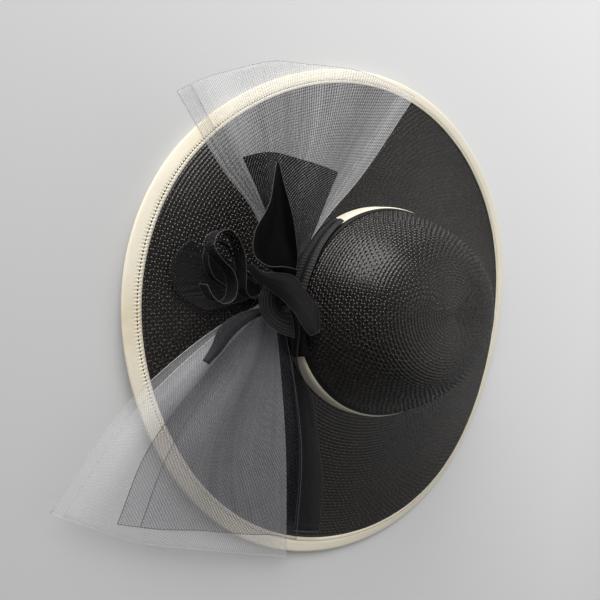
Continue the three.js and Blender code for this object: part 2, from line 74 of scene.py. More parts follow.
def in_frame(points):
    """Points of the hat, in millimetres, as places in the model, in metres."""
    return np.asarray(points, dtype=float) * MM + HAT_PLACE


print("the hat's middle is at", HAT_PLACE.round(4))

# %% [markdown]
# Camera, floor and light
#
# The hat is seen from above its bow. The camera's tilt and roll were worked out from the oval that
# the round brim makes in the picture, and its lens from how fast that oval narrows.

# %% Camera
CAMERA_PLACE_MM = (-283.1, 5.6, 294.3)
CAMERA_TILT = math.radians(35.46)
CAMERA_ROLL = math.radians(6.91)
LENS_MM = 27.72
SENSOR_MM = 36.0


def placed(name, data):
    """A new object of the scene."""
    thing = bpy.data.objects.new(name, data)
    bpy.context.collection.objects.link(thing)
    return thing


looking = Vector((math.sin(CAMERA_TILT), 0, -math.cos(CAMERA_TILT)))
level_up = Vector((math.cos(CAMERA_TILT), 0, math.sin(CAMERA_TILT)))
picture_up = math.cos(CAMERA_ROLL) * Vector((0, 1, 0)) - math.sin(CAMERA_ROLL) * level_up
picture_right = looking.cross(picture_up)
turn = Matrix((picture_right, picture_up, -looking)).transposed()

camera_data = bpy.data.cameras.new("hat_camera")
camera_data.lens = LENS_MM
camera_data.sensor_width = SENSOR_MM
camera = placed("hat_camera", camera_data)
camera.matrix_world = Matrix.Translation(Vector(in_frame(CAMERA_PLACE_MM))) @ turn.to_4x4()
bpy.context.scene.camera = camera
print("camera at", [round(value, 3) for value in camera.location])

# %% [markdown]
# Colours are worked out by small node trees here, so that no picture has to be loaded. Each helper
# adds one node, and a material then reads like a list of steps.

# %% Helpers for materials
def clear_material(name):
    """A new material with an empty node tree, and that tree."""
    material = bpy.data.materials.new(name)
    material.use_nodes = True
    material.node_tree.nodes.clear()
    return material, material.node_tree


def add_node(tree, kind, inputs=None, **settings):
    """A node with its settings, and each input either linked to a socket or given a value."""
    node = tree.nodes.new(kind)
    for key, value in settings.items():
        setattr(node, key, value)
    for key, value in (inputs or {}).items():
        if isinstance(value, bpy.types.NodeSocket):
            tree.links.new(value, node.inputs[key])
        else:
            node.inputs[key].default_value = value
    return node


def calculate(tree, operation, first, second=0.0, third=0.0, clamp=False):
    """The result of one Math node."""
    inputs = {0: first, 1: second, 2: third}
    node = add_node(tree, "ShaderNodeMath", inputs, operation=operation, use_clamp=clamp)
    return node.outputs[0]


def mixed_colour(tree, share, first, second, blend="MIX"):
    """Two colours mixed by a share."""
    node = add_node(tree, "ShaderNodeMix", {0: share}, data_type="RGBA", blend_type=blend)
    for index, colour in ((6, first), (7, second)):
        if isinstance(colour, bpy.types.NodeSocket):
            tree.links.new(colour, node.inputs[index])
        else:
            node.inputs[index].default_value = (*colour, 1.0)
    return node.outputs[2]


def own_place(tree):
    """The place on a piece, in metres."""
    return add_node(tree, "ShaderNodeTexCoord").outputs["Object"]


def noise_at(tree, place, scale, detail=2.0):
    """The value of a noise texture at a place."""
    inputs = {"Vector": place, "Scale": scale, "Detail": detail}
    return add_node(tree, "ShaderNodeTexNoise", inputs).outputs["Fac"]


def graded(tree, value, stops):
    """A value sent through a ramp of (position, grey) stops."""
    node = add_node(tree, "ShaderNodeValToRGB", {0: value})
    ramp = node.color_ramp
    while len(ramp.elements) < len(stops):
        ramp.elements.new(0.5)
    for element, (position, grey) in zip(ramp.elements, stops):
        element.position = position
        element.color = (grey, grey, grey, 1.0)
    return node.outputs["Color"]


def surface_shader(tree, inputs):
    """The shader that all solid surfaces use."""
    return add_node(tree, "ShaderNodeBsdfPrincipled", inputs).outputs[0]


def finish_material(material, shader):
    """Ends the tree in its output and returns the material."""
    add_node(material.node_tree, "ShaderNodeOutputMaterial", {"Surface": shader})
    return material


print("material helpers ready")

# %% [markdown]
# The hat lies on one plain sheet of pale paper, much larger than the picture. Light is painted on the
# paper: it gets a little lighter from the bow's side to the other side, as if more light fell there.
# A lamp could do that too, but it would change the light on the straw as well.

# %% Floor
FLOOR_SIZE = 6.0
FLOOR_PAINTED_SHADE_END = (0.49, 0.49, 0.49)
FLOOR_PAINTED_LIGHT_END = (0.80, 0.80, 0.80)
PAINTED_LIGHT_CHANGES_WITHIN = 0.9
PAPER_ROUGHNESS = 0.85


def paper_with_painted_light():
    """Matt paper with painted light: its grey gets lighter along X."""
    material, tree = clear_material("pale_floor")
    x = add_node(tree, "ShaderNodeSeparateXYZ", {0: own_place(tree)}).outputs["X"]
    # Painted light: the paper is darker on the bow's side and lighter on the other.
    share = calculate(tree, "MULTIPLY_ADD", x, 1 / PAINTED_LIGHT_CHANGES_WITHIN, 0.5, clamp=True)
    colour = mixed_colour(tree, share, FLOOR_PAINTED_SHADE_END, FLOOR_PAINTED_LIGHT_END)
    inputs = {"Base Color": colour, "Roughness": PAPER_ROUGHNESS}
    return finish_material(material, surface_shader(tree, inputs))


half = FLOOR_SIZE / 2
floor_corners = [(-half, -half, 0), (half, -half, 0), (half, half, 0), (-half, half, 0)]
floor_mesh = bpy.data.meshes.new("floor")
floor_mesh.from_pydata(floor_corners, [], [(0, 1, 2, 3)])
floor_mesh.materials.append(paper_with_painted_light())
floor = placed("floor", floor_mesh)
print("floor is", FLOOR_SIZE, "m wide")

# %% [markdown]
# A wide lamp stands low on the side of the upper fan, like a window. Low light draws long glints
# along the straw, and a wide lamp keeps the shadows soft. A weak lamp opposite the bow lifts the far
# side of the crown. A lamp shines along its own -Z axis, so its Z axis is turned away from what it
# lights.

# %% Lamps
LAMPS = [
    {"name": "window_light", "azimuth": 119, "height": 24, "away": 1.6, "size": 1.35, "watts": 42,
     "aim": (0, 0)},
    {"name": "side_light", "azimuth": 4, "height": 33, "away": 1.4, "size": 1.7, "watts": 5,
     "aim": (0.8, 0)},
]

for lamp in LAMPS:
    data = bpy.data.lights.new(lamp["name"], "AREA")
    data.energy = lamp["watts"]
    data.size = lamp["size"]
    azimuth = math.radians(lamp["azimuth"])
    height = math.radians(lamp["height"])
    level = math.cos(height)
    way = Vector((math.cos(azimuth) * level, math.sin(azimuth) * level, math.sin(height)))
    light = placed(lamp["name"], data)
    light.location = way * lamp["away"]
    aimed = light.location - Vector((*lamp["aim"], 0))
    light.rotation_euler = aimed.to_track_quat("Z", "Y").to_euler()
print("lamps:", [lamp["name"] for lamp in LAMPS])

# %% [markdown]
# Glossy straw mirrors whatever is above it. The sky is a soft grey dome that is brightest on one
# side, because an even one would make the straw look milky all over.

# %% Sky
SKY_BRIGHT_SIDE = (0.50, 0.30, 0.81)
SKY_STOPS = ((0.0, 0.05), (0.45, 0.26), (1.0, 0.4))

world = bpy.data.worlds.new("studio")
world.use_nodes = True
sky = world.node_tree
way_out = add_node(sky, "ShaderNodeTexCoord").outputs["Generated"]
facing_in = {0: way_out, 1: SKY_BRIGHT_SIDE}
facing = add_node(sky, "ShaderNodeVectorMath", facing_in, operation="DOT_PRODUCT").outputs["Value"]
sky.links.new(graded(sky, facing, SKY_STOPS), sky.nodes["Background"].inputs["Color"])
bpy.context.scene.world = world
bpy.context.scene.view_settings.view_transform = "Standard"
print("the sky goes from", SKY_STOPS[0][1], "to", SKY_STOPS[-1][1])

# %% [markdown]
# The shape of the hat
#
# The brim's edge isn't quite round or level. It has three shallow lobes, it rises and falls, and it
# turns down where it falls. The solid parts follow the same formulas, so each finer piece lies where
# its solid lies.

# %% Brim edge
RIM_RADIUS = 205.0
REST_LEVEL = -2.6
BINDING_WIDTH = 12.0
BINDING_WALL = 0.7
BINDING_EASE = 0.45
RIM_LOBES = [
    {"count": 3, "size": 3.4, "towards": 54.7},
    {"count": 5, "size": 1.0, "towards": 21.8},
]
RIM_WAVES = [
    {"count": 2, "size": 3.84, "towards": 37.6},
    {"count": 3, "size": 1.2, "towards": -50.8},
]
EDGE_TURN = 7.0
EDGE_TURN_SWING = 13.7


def waves_round(angle, rows):
    """The sum of a few waves that run round the hat."""
    return sum(row["size"] * np.cos(row["count"] * (angle - math.radians(row["towards"]))) for row in rows)


def rim_radius(angle):
    return RIM_RADIUS + waves_round(angle, RIM_LOBES)


def rim_height(angle):
    return np.maximum(REST_LEVEL, waves_round(angle, RIM_WAVES))


def edge_slope(angle):
    return np.radians(EDGE_TURN - EDGE_TURN_SWING * np.sin(2 * angle))


def edge_point(angle, inward, above):
    """A point near the edge: inward along the brim, and out of its surface."""
    slope = edge_slope(angle)
    radius = rim_radius(angle) - inward * np.cos(slope) + above * np.sin(slope)
    height = rim_height(angle) + inward * np.sin(slope) + above * np.cos(slope)
    return np.stack([radius * np.cos(angle), radius * np.sin(angle), height], axis=-1)


print("the edge is", round(float(rim_radius(0.0)), 1), "mm from the middle on the right")

# %% [markdown]
# The crown is an oval wall with a dome on it. Two powers shape the dome: its top is flatter than an
# ellipse and its sides slope more. Towards the top the oval gets longer for its width, and it leans a
# little to one side.

# %% Crown
CROWN_HALF_LENGTH = 100.6
CROWN_HALF_WIDTH = 85.9
WALL_TOP = 31.0
CROWN_TOP = 88.0
DOME_SIDE_POWER = 4.5
DOME_TOP_POWER = 1.18
TOP_LENGTH_RATIO = 1.23
TOP_LEAN_X = -1.0
TOP_LEAN_Y = 4.4
WALL_DRAW_IN = 0.015
FOOT_HEIGHT = JOIN_HEIGHT - STRAW_WALL / 2


def crown_at(angle, share, height, outward):
    """A point of the crown where its width is a share of the full width."""
    climb = np.clip((height - JOIN_HEIGHT) / (WALL_TOP - JOIN_HEIGHT), 0, 1)
    rise = np.clip((height - WALL_TOP) / (CROWN_TOP - WALL_TOP), 0, 1)
    full_ratio = CROWN_HALF_LENGTH / CROWN_HALF_WIDTH
    ratio = full_ratio + (TOP_LENGTH_RATIO - full_ratio) * rise
    half_width = CROWN_HALF_WIDTH * share * (1 - WALL_DRAW_IN * climb)
    x = (half_width * ratio + outward) * np.cos(angle) + TOP_LEAN_X * rise
    y = CROWN_CENTRE_Y + (half_width + outward) * np.sin(angle) + TOP_LEAN_Y * rise
    return np.stack([x, y, height + 0 * x], axis=-1)


def crown_point(angle, height, outward):
    """A point of the crown's wall or dome at a height."""
    rise = np.clip((height - WALL_TOP) / (CROWN_TOP - WALL_TOP), 0, 1)
    share = (1 - rise ** (1 / DOME_TOP_POWER)) ** (1 / DOME_SIDE_POWER)
    return crown_at(angle, share, height, outward)


print("the crown is", 2 * CROWN_HALF_LENGTH, "by", 2 * CROWN_HALF_WIDTH, "mm at its foot")

# %% [markdown]
# The plait is sewn in turns of one width, so the way along the surface has to be known. It is
# measured once, in small steps, from the top of the dome down to the foot of the wall.

# %% Way down the crown
MERIDIAN_STEPS = 400
dome_shares = np.linspace(0, 1, MERIDIAN_STEPS)
dome_curve = (1 - dome_shares ** DOME_SIDE_POWER) ** DOME_TOP_POWER
meridian_shares = np.append(dome_shares, 1.0)
meridian_heights = np.append(WALL_TOP + (CROWN_TOP - WALL_TOP) * dome_curve, FOOT_HEIGHT)
mean_half = (CROWN_HALF_LENGTH + CROWN_HALF_WIDTH) / 2
meridian_steps = np.hypot(np.diff(meridian_shares * mean_half), np.diff(meridian_heights))
meridian_lengths = np.concatenate([[0], np.cumsum(meridian_steps)])
CROWN_WAY = float(meridian_lengths[-1])


def crown_surface(angle, along):
    """The crown's outer surface, by the way from its top towards its foot."""
    share = np.interp(along, meridian_lengths, meridian_shares)
    height = np.interp(along, meridian_lengths, meridian_heights)
    return crown_at(angle, share, height, 0.0)


print("from the top of the crown to its foot is", round(CROWN_WAY), "mm")

# %% [markdown]
# The brim leaves the crown with a slight fall and meets the edge along the slope there. One cubic
# curve with those two slopes joins them at every angle. Under the tape the straw goes on as a flat
# tongue, so that the tape has something to hold.

# %% Brim
GAP = 0.3
SEWN_CLEARANCE = 0.1
BRIM_LEAVES_CROWN_AT = 8.0
OPEN_STRAW_INWARD = BINDING_WIDTH + 1
TONGUE_SLACK = 0.5
BRIM_TUCK = BINDING_WALL + GAP + TONGUE_SLACK
BRIM_WAY = 114.0
BRIM_OPEN_SHARE = 0.9


def brim_curve(angle, share):
    """The brim's middle surface, from the crown to just inside the binding."""
    half_length = CROWN_HALF_LENGTH + GAP + SEWN_CLEARANCE
    half_width = CROWN_HALF_WIDTH + GAP + SEWN_CLEARANCE
    start = np.stack([
        half_length * np.cos(angle),
        CROWN_CENTRE_Y + half_width * np.sin(angle),
        JOIN_HEIGHT + 0 * angle,
    ], axis=-1)
    end = edge_point(angle, OPEN_STRAW_INWARD, 0.0)
    run = np.hypot(end[..., 0] - start[..., 0], end[..., 1] - start[..., 1])
    start_fall = -math.tan(math.radians(BRIM_LEAVES_CROWN_AT)) * run
    end_fall = -np.tan(edge_slope(angle)) * run
    s = share
    height = start[..., 2] * (2 * s**3 - 3 * s**2 + 1) + end[..., 2] * (3 * s**2 - 2 * s**3)
    height = height + start_fall * (s**3 - 2 * s**2 + s) + end_fall * (s**3 - s**2)
    flat = start[..., :2] + (end[..., :2] - start[..., :2]) * s[..., None]
    return np.concatenate([flat, height[..., None]], axis=-1)


def brim_surface(angle, along):
    """The brim's middle surface, by the way from the crown towards the edge."""
    share = np.clip(along / BRIM_WAY, 0, 1)
    open_part = brim_curve(angle, np.minimum(share / BRIM_OPEN_SHARE, 1.0))
    tucked = np.clip((share - BRIM_OPEN_SHARE) / (1 - BRIM_OPEN_SHARE), 0, 1)
    inward = OPEN_STRAW_INWARD + (BRIM_TUCK - OPEN_STRAW_INWARD) * tucked
    in_binding = edge_point(angle, inward, 0.0)
    return np.where((tucked > 0)[..., None], in_binding, open_part)


print("from the crown to the edge is about", BRIM_WAY, "mm")

# %% [markdown]
# Making meshes from points
#
# Most pieces here are grids of points worked out by a formula. A few small helpers turn such grids
# into closed meshes, so that the formulas stay in view.

# %% Mesh helpers
def new_piece(name, points, faces, material, uvs=None):
    """A smooth piece from points in the hat's millimetres, with an optional (u, v) for each point."""
    mesh = bpy.data.meshes.new(name)
    mesh.from_pydata([tuple(p) for p in in_frame(points)], [], faces)
    if uvs is not None:
        layer = mesh.uv_layers.new(name="UVMap")
        corners = np.empty(len(mesh.loops), dtype=np.int32)
        mesh.loops.foreach_get("vertex_index", corners)
        layer.data.foreach_set("uv", np.asarray(uvs, dtype=np.float32)[corners].ravel())
    mesh.materials.append(material)
    mesh.shade_smooth()
    mesh.validate()
    mesh.update()
    return placed(name, mesh)


def triangles_of(piece):
    """How many triangles a piece has."""
    return sum(len(polygon.vertices) - 2 for polygon in piece.data.polygons)


def tidy_mesh(piece, distance=1e-6):
    """Merges doubled points and drops faces that have no area."""
    work = bmesh.new()
    work.from_mesh(piece.data)
    bmesh.ops.remove_doubles(work, verts=work.verts, dist=distance)
    bmesh.ops.dissolve_degenerate(work, edges=work.edges, dist=distance)
    work.to_mesh(piece.data)
    work.free()


def grid_faces(rows, columns, start=0, flip=False):
    """Quads between the points of a grid that is stored row by row."""
    i, j = np.meshgrid(np.arange(rows - 1), np.arange(columns - 1), indexing="ij")
    a = (start + i * columns + j).ravel()
    quads = np.stack([a, a + columns, a + columns + 1, a + 1], axis=1)
    return quads[:, ::-1] if flip else quads


def grid_normals(grid, wrap=False):
    """The unit normals of a grid of points."""
    down = np.gradient(grid, axis=0)
    if wrap:
        across = (np.roll(grid, -1, axis=1) - np.roll(grid, 1, axis=1)) / 2
    else:
        across = np.gradient(grid, axis=1)
    normals = np.cross(down, across)
    return normals / np.maximum(np.linalg.norm(normals, axis=-1, keepdims=True), 1e-9)


def surface_frame(surface, angle, along):
    """Points of a surface with their upward normals and the direction round the hat."""
    step_angle = 1e-3
    step_way = 0.05
    point = surface(angle, along)
    round_way = surface(angle + step_angle, along) - surface(angle - step_angle, along)
    down_way = surface(angle, along + step_way) - surface(angle, along - step_way)
    normal = np.cross(down_way, round_way)
    normal /= np.maximum(np.linalg.norm(normal, axis=-1, keepdims=True), 1e-9)
    round_way /= np.maximum(np.linalg.norm(round_way, axis=-1, keepdims=True), 1e-9)
    return point, normal, round_way


print("mesh helpers ready")

# %% [markdown]
# Straw
#
# The straw is a narrow plait of a dark, black-brown colour, sewn round and round in a spiral from the
# top of the crown outwards. It is glossy like lacquer, so each crossing catches its own small light.
# The straw between the crossings lies deeper, so it gets the same material with less gloss. That is
# painted shade: the weaker reflection stands in for the shade in the grooves. Noise in the hat's own
# space changes colour and roughness a little from straw to straw.

# %% Straw material
STRAW_DARK = (0.005, 0.0046, 0.0046)
STRAW_WARM = (0.020, 0.013, 0.009)
STRAW_SHADES = ((0.3, 0.55), (0.72, 1.0))
STRAW_ROUGHNESS = ((0.3, 0.19), (0.7, 0.33))
STRAW_GRAIN = {"broad": 38.0, "fine": 900.0, "fibre": 2600.0}
FIBRE_BUMP = {"Strength": 0.25, "Distance": 0.2 * MM}
CROSSING_GLOSS = 0.9
# Less gloss between the crossings is painted shade for the grooves.
GROOVE_PAINTED_SHADE_GLOSS = 0.3


def straw_material(name, gloss):
    material, tree = clear_material(name)
    place = own_place(tree)
    broad = noise_at(tree, place, STRAW_GRAIN["broad"])
    fine = noise_at(tree, place, STRAW_GRAIN["fine"], detail=3.0)
    fibre = noise_at(tree, place, STRAW_GRAIN["fibre"])
    warm = mixed_colour(tree, broad, STRAW_DARK, STRAW_WARM)
    colour = mixed_colour(tree, 1.0, warm, graded(tree, fine, STRAW_SHADES), blend="MULTIPLY")
    bump = add_node(tree, "ShaderNodeBump", {**FIBRE_BUMP, "Height": fibre})
    inputs = {
        "Base Color": colour,
        "Roughness": graded(tree, fine, STRAW_ROUGHNESS),
        "Specular IOR Level": gloss,
        "Normal": bump.outputs[0],
    }
    return finish_material(material, surface_shader(tree, inputs))


straw = straw_material("lacquered_straw", CROSSING_GLOSS)
straw_in_painted_shade = straw_material("straw_between_crossings", GROOVE_PAINTED_SHADE_GLOSS)
print("made", straw.name, "and", straw_in_painted_shade.name)

# %% [markdown]
# Each turn of the plait makes a low ridge round the hat. The shell under the crossings follows the
# spiral: each row of points goes a little further down with every step round, so that the end of one
# turn meets the start of the next. Plain rings would be simpler, but they would never meet up. The
# inner side is a smoother wall.

# %% Spiral shell
PLAIT_PITCH = 2.5
RIDGE_SHARES = (0.0, 0.3, 0.75)
RIDGE_LIFTS = (0.0, 1.0, 0.8)
INNER_ROWS = 40


def ring_strip(first_row, second_row, columns, skipped=()):
    """Quads from one ring of points to the next."""
    faces = []
    for j in range(columns):
        if j not in skipped:
            k = (j + 1) % columns
            faces.append((first_row + j, second_row + j, second_row + k, first_row + k))
    return faces


def spiral_faces(rows, columns, turn_rows):
    """Quads of a ridged shell. At the seam a row runs on into the row of the next turn."""
    faces = []
    for i in range(rows - 1):
        for j in range(columns):
            seam = turn_rows if j == columns - 1 else 0
            if i + 1 + seam < rows:
                a = i * columns + j
                b = (i + seam) * columns + (j + 1) % columns
                faces.append((a, a + columns, b + columns, b))
    return faces


def spiral_shell(name, surface, way, columns, outer_lift, ridge):
    """A closed shell whose upper side is ridged by a spiral plait."""
    turns = np.arange(-1, math.ceil(way / PLAIT_PITCH) + 1)
    angles = np.arange(columns) * 2 * np.pi / columns
    starts = (turns[:, None] + np.array(RIDGE_SHARES)).ravel()
    lifts = np.tile(RIDGE_LIFTS, len(turns))
    along = np.clip((starts[:, None] + angles / (2 * np.pi)) * PLAIT_PITCH, 0, way)
    point, normal, _ = surface_frame(surface, np.broadcast_to(angles, along.shape), along)
    upper = point + normal * (outer_lift + ridge * (lifts[:, None] - 1))[..., None]
    inner_along = np.linspace(0, way, INNER_ROWS)[:, None] + 0 * angles
    point, normal, _ = surface_frame(surface, np.broadcast_to(angles, inner_along.shape), inner_along)
    lower = point + normal * (outer_lift - STRAW_WALL)
    rows = len(starts)
    first_lower = rows * columns
    last_lower = first_lower + (INNER_ROWS - 1) * columns
    faces = spiral_faces(rows, columns, len(RIDGE_SHARES))
    for row in range(first_lower, last_lower, columns):
        faces += ring_strip(row + columns, row, columns)
    faces += ring_strip((rows - 1) * columns, last_lower, columns)
    starts_open = np.ptp(point[0], axis=0).max() > 1
    if starts_open:
        faces += ring_strip(first_lower, 0, columns)
    points = np.concatenate([upper.reshape(-1, 3), lower.reshape(-1, 3)])
    # The shell under the crossings wears the straw with painted shade.
    piece = new_piece(name, points, faces, straw_in_painted_shade)
    tidy_mesh(piece)
    return piece


CROWN_COLUMNS = 200
CROWN_RIDGE = 0.5
BRIM_COLUMNS = 260
BRIM_RIDGE = 0.3
straw_crown = spiral_shell("straw_crown", crown_surface, CROWN_WAY, CROWN_COLUMNS, 0.0, CROWN_RIDGE)
straw_brim = spiral_shell("straw_brim", brim_surface, BRIM_WAY, BRIM_COLUMNS, STRAW_WALL / 2, BRIM_RIDGE)
print("crown", triangles_of(straw_crown), "and brim", triangles_of(straw_brim), "triangles")

# %% [markdown]
# The plait itself is a row of small slanted lozenges, where one straw crosses over the next. There
# are thousands of them, so a Geometry Nodes tree puts them on points along the spiral. These helpers
# start such a tree, end it, and keep its result as a plain mesh.

# %% Helpers for node trees that make geometry
def geometry_tree(name, sockets):
    """An empty Geometry Nodes tree with named inputs, its input node and its output node."""
    tree = bpy.data.node_groups.new(name, "GeometryNodeTree")
    tree.interface.new_socket("Geometry", in_out="INPUT", socket_type="NodeSocketGeometry")
    for label, kind in sockets.items():
        tree.interface.new_socket(label, in_out="INPUT", socket_type="NodeSocket" + kind)
    tree.interface.new_socket("Geometry", in_out="OUTPUT", socket_type="NodeSocketGeometry")
    return tree, tree.nodes.new("NodeGroupInput"), tree.nodes.new("NodeGroupOutput")


def end_geometry_tree(tree, geometry, material, output):
    """Realizes the instances, smooths and paints them, and ends the tree."""
    real = add_node(tree, "GeometryNodeRealizeInstances", {"Geometry": geometry})
    smooth = add_node(tree, "GeometryNodeSetShadeSmooth", {"Geometry": real.outputs[0]})
    paint_in = {"Geometry": smooth.outputs[0], "Material": material}
    painted = add_node(tree, "GeometryNodeSetMaterial", paint_in)
    tree.links.new(painted.outputs[0], output.inputs[0])


def grown_by(tree, piece, values):
    """Runs a tree on a piece and keeps the result as the piece's own plain mesh."""
    modifier = piece.modifiers.new(tree.name, "NODES")
    modifier.node_group = tree
    sockets = {item.name: item.identifier for item in tree.interface.items_tree if item.in_out == "INPUT"}
    for label, value in values.items():
        modifier[sockets[label]] = value
    graph = bpy.context.evaluated_depsgraph_get()
    grown = bpy.data.meshes.new_from_object(piece.evaluated_get(graph))
    piece.modifiers.remove(modifier)
    piece.data = grown
    grown.name = piece.name
    return piece


def loose_object(name, points, edges=(), vectors=None):
    """Points in the model's metres, with edges between them or named directions on them."""
    mesh = bpy.data.meshes.new(name)
    mesh.from_pydata([tuple(p) for p in points], list(edges), [])
    for label, values in (vectors or {}).items():
        attribute = mesh.attributes.new(label, "FLOAT_VECTOR", "POINT")
        attribute.data.foreach_set("vector", np.asarray(values, dtype=np.float32).ravel())
    return placed(name, mesh)


print("tree helpers ready")

# %% [markdown]
# Each point carries two directions: out of the surface, and along the plait. The tree turns the
# shape's Z and X axes to them and scales it to its length, width and height. A small random turn
# keeps the crossings from looking stamped.

# %% Plait tree
PLAIT_INPUTS = {
    "Shape": "Object",
    "Length": "Float",
    "Width": "Float",
    "Height": "Float",
    "Unevenness": "Float",
    "Tilt": "Float",
    "Seed": "Int",
    "Material": "Material",
}


def named_direction(tree, label):
    """A direction that the points carry."""
    kind = "GeometryNodeInputNamedAttribute"
    return add_node(tree, kind, {"Name": label}, data_type="FLOAT_VECTOR").outputs[0]


def plait_tree():
    tree, given, output = geometry_tree("plaits", PLAIT_INPUTS)
    axes = {"Primary Axis": named_direction(tree, "out"), "Secondary Axis": named_direction(tree, "along")}
    facing = add_node(tree, "FunctionNodeAxesToRotation", axes, primary_axis="Z", secondary_axis="X")
    random_in = {0: (-1, -1, -1), "Seed": given.outputs["Seed"]}
    random = add_node(tree, "FunctionNodeRandomValue", random_in, data_type="FLOAT_VECTOR")
    spread_in = {"X": given.outputs["Tilt"], "Y": given.outputs["Tilt"], "Z": given.outputs["Unevenness"]}
    spread = add_node(tree, "ShaderNodeCombineXYZ", spread_in)
    turned_in = {0: random.outputs[0], 1: spread.outputs[0]}
    turned = add_node(tree, "ShaderNodeVectorMath", turned_in, operation="MULTIPLY")
    uneven = add_node(tree, "FunctionNodeEulerToRotation", {0: turned.outputs[0]})
    turn_in = {0: facing.outputs[0], 1: uneven.outputs[0]}
    rotation = add_node(tree, "FunctionNodeRotateRotation", turn_in, rotation_space="LOCAL")
    size_in = {axis: given.outputs[label] for axis, label in zip("XYZ", ("Length", "Width", "Height"))}
    size = add_node(tree, "ShaderNodeCombineXYZ", size_in)
    shape = add_node(tree, "GeometryNodeObjectInfo", {"Object": given.outputs["Shape"]})
    put_in = {
        "Points": given.outputs["Geometry"],
        "Instance": shape.outputs["Geometry"],
        "Rotation": rotation.outputs[0],
        "Scale": size.outputs[0],
    }
    put = add_node(tree, "GeometryNodeInstanceOnPoints", put_in)
    end_geometry_tree(tree, put.outputs[0], given.outputs["Material"], output)
    return tree


plaits = plait_tree()
print("the plait tree has", len(plaits.nodes), "nodes")

# %% [markdown]
# A lozenge is a six-sided base with a short ridge on top. It is drawn one unit long and wide, and the
# tree scales it. Twelve triangles are enough, because each one is only a glint in the picture.

# %% Lozenge
LOZENGE_POINTS = [
    (0.5, 0, -0.4), (0.3, 0.5, -0.4), (-0.3, 0.5, -0.4), (-0.5, 0, -0.4), (-0.3, -0.5, -0.4),
    (0.3, -0.5, -0.4), (0.3, 0, 0.6), (-0.3, 0, 0.6),
]
LOZENGE_FACES = [
    (0, 1, 6), (1, 2, 7, 6), (2, 3, 7), (3, 4, 7), (4, 5, 6, 7), (5, 0, 6), (5, 4, 3, 2, 1, 0),
]
lozenge_mesh = bpy.data.meshes.new("lozenge")
lozenge_mesh.from_pydata(LOZENGE_POINTS, [], LOZENGE_FACES)
lozenge = bpy.data.objects.new("lozenge", lozenge_mesh)
print("one lozenge has", triangles_of(lozenge), "triangles")

# %% [markdown]
# Neighbours along a turn slant to opposite sides. A few turns share their number of lozenges, so that
# the crossings line up from turn to turn into a diagonal lattice, as they do on sewn braid. The first
# turns get a number each, because at the top of the crown they are short, and there the slant grows
# with the way from the top.

# %% Places along the spiral
LOZENGE_SPACING = 2.45
LOZENGE_ACROSS = 0.45
FIRST_LOZENGE = 1.5
SLANT_AT_START = math.radians(10)
SLANT_FURTHER = math.radians(44)
SLANT_GROWS_WITHIN = 60.0
TURNS_ALIKE = 6
RING_SAMPLES = 73


def length_round(surface, along):
    """The length of one ring of a surface."""
    ring = surface(np.linspace(0, 2 * np.pi, RING_SAMPLES), np.full(RING_SAMPLES, along))
    return float(np.linalg.norm(np.diff(ring, axis=0), axis=1).sum())


def spiral_sites(surface, way, lift, least_slant, seed):
    """Places along the spiral with their outward and onward directions, which slant by turns."""
    random = np.random.default_rng(seed)
    angles = []
    ways = []
    signs = []
    for turn_number in range(math.ceil(way / PLAIT_PITCH)):
        alike = 1 if turn_number < 2 * TURNS_ALIKE else TURNS_ALIKE
        if turn_number % alike == 0:
            around = length_round(surface, (turn_number + alike / 2) * PLAIT_PITCH)
            count = 2 * max(2, round(around / LOZENGE_SPACING / 2))
            phase = random.random()
        step = np.arange(count)
        angle = (step + phase) * 2 * np.pi / count
        angles.append(angle)
        ways.append((turn_number + LOZENGE_ACROSS + angle / (2 * np.pi)) * PLAIT_PITCH)
        signs.append(np.where((step + turn_number) % 2 == 0, 1.0, -1.0))
    ways = np.concatenate(ways)
    kept = (ways > FIRST_LOZENGE) & (ways < way - PLAIT_PITCH / 2)
    point, normal, onward = surface_frame(surface, np.concatenate(angles)[kept], ways[kept])
    growth = np.clip(ways[kept] / SLANT_GROWS_WITHIN, 0, 1)
    slant = (least_slant + (SLANT_FURTHER - least_slant) * growth) * np.concatenate(signs)[kept]
    slant = slant[:, None]
    slanted = onward * np.cos(slant) + np.cross(normal, onward) * np.sin(slant)
    return in_frame(point + normal * lift), normal, slanted


# %% [markdown]
# The lozenges sink a little into the shell, so that no light shows under them. The straw under the
# tape isn't seen, so the crossings of the brim end a few millimetres past the tape's inner edge.

# %% Crossings
LOZENGE_SHAPE = {
    "Shape": lozenge,
    "Length": 3.7 * MM,
    "Width": 1.4 * MM,
    "Height": 1.0 * MM,
    "Unevenness": math.radians(8),
    "Tilt": math.radians(9),
    "Material": straw,
}
LOZENGE_SINKS = 0.25
BRIM_SEEN_SHARE = 0.94


def plaited(name, surface, way, lift, least_slant, seed):
    """All crossings of one surface, as one piece."""
    points, out, along = spiral_sites(surface, way, lift, least_slant, seed)
    piece = loose_object(name, points, vectors={"out": out, "along": along})
    grown_by(plaits, piece, {**LOZENGE_SHAPE, "Seed": seed})
    print(name, "has", len(points), "lozenges and", triangles_of(piece), "triangles")
    return piece


crown_plaits = plaited("crown_plaits", crown_surface, CROWN_WAY, -LOZENGE_SINKS, SLANT_AT_START, 3)
brim_lift = STRAW_WALL / 2 - LOZENGE_SINKS
brim_plaits = plaited("brim_plaits", brim_surface, BRIM_WAY * BRIM_SEEN_SHARE, brim_lift, SLANT_FURTHER, 4)
bpy.data.objects.remove(lozenge)

# %% [markdown]
# A finished piece is told which solid it stands for, and that solid is hidden. It moves with the
# hat's one body.

# %% Straw in its place
def as_part_of(piece, node):
    """The piece moves with the hat and stands in for a solid of it, which is hidden."""
    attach(piece, "root")
    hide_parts(node)


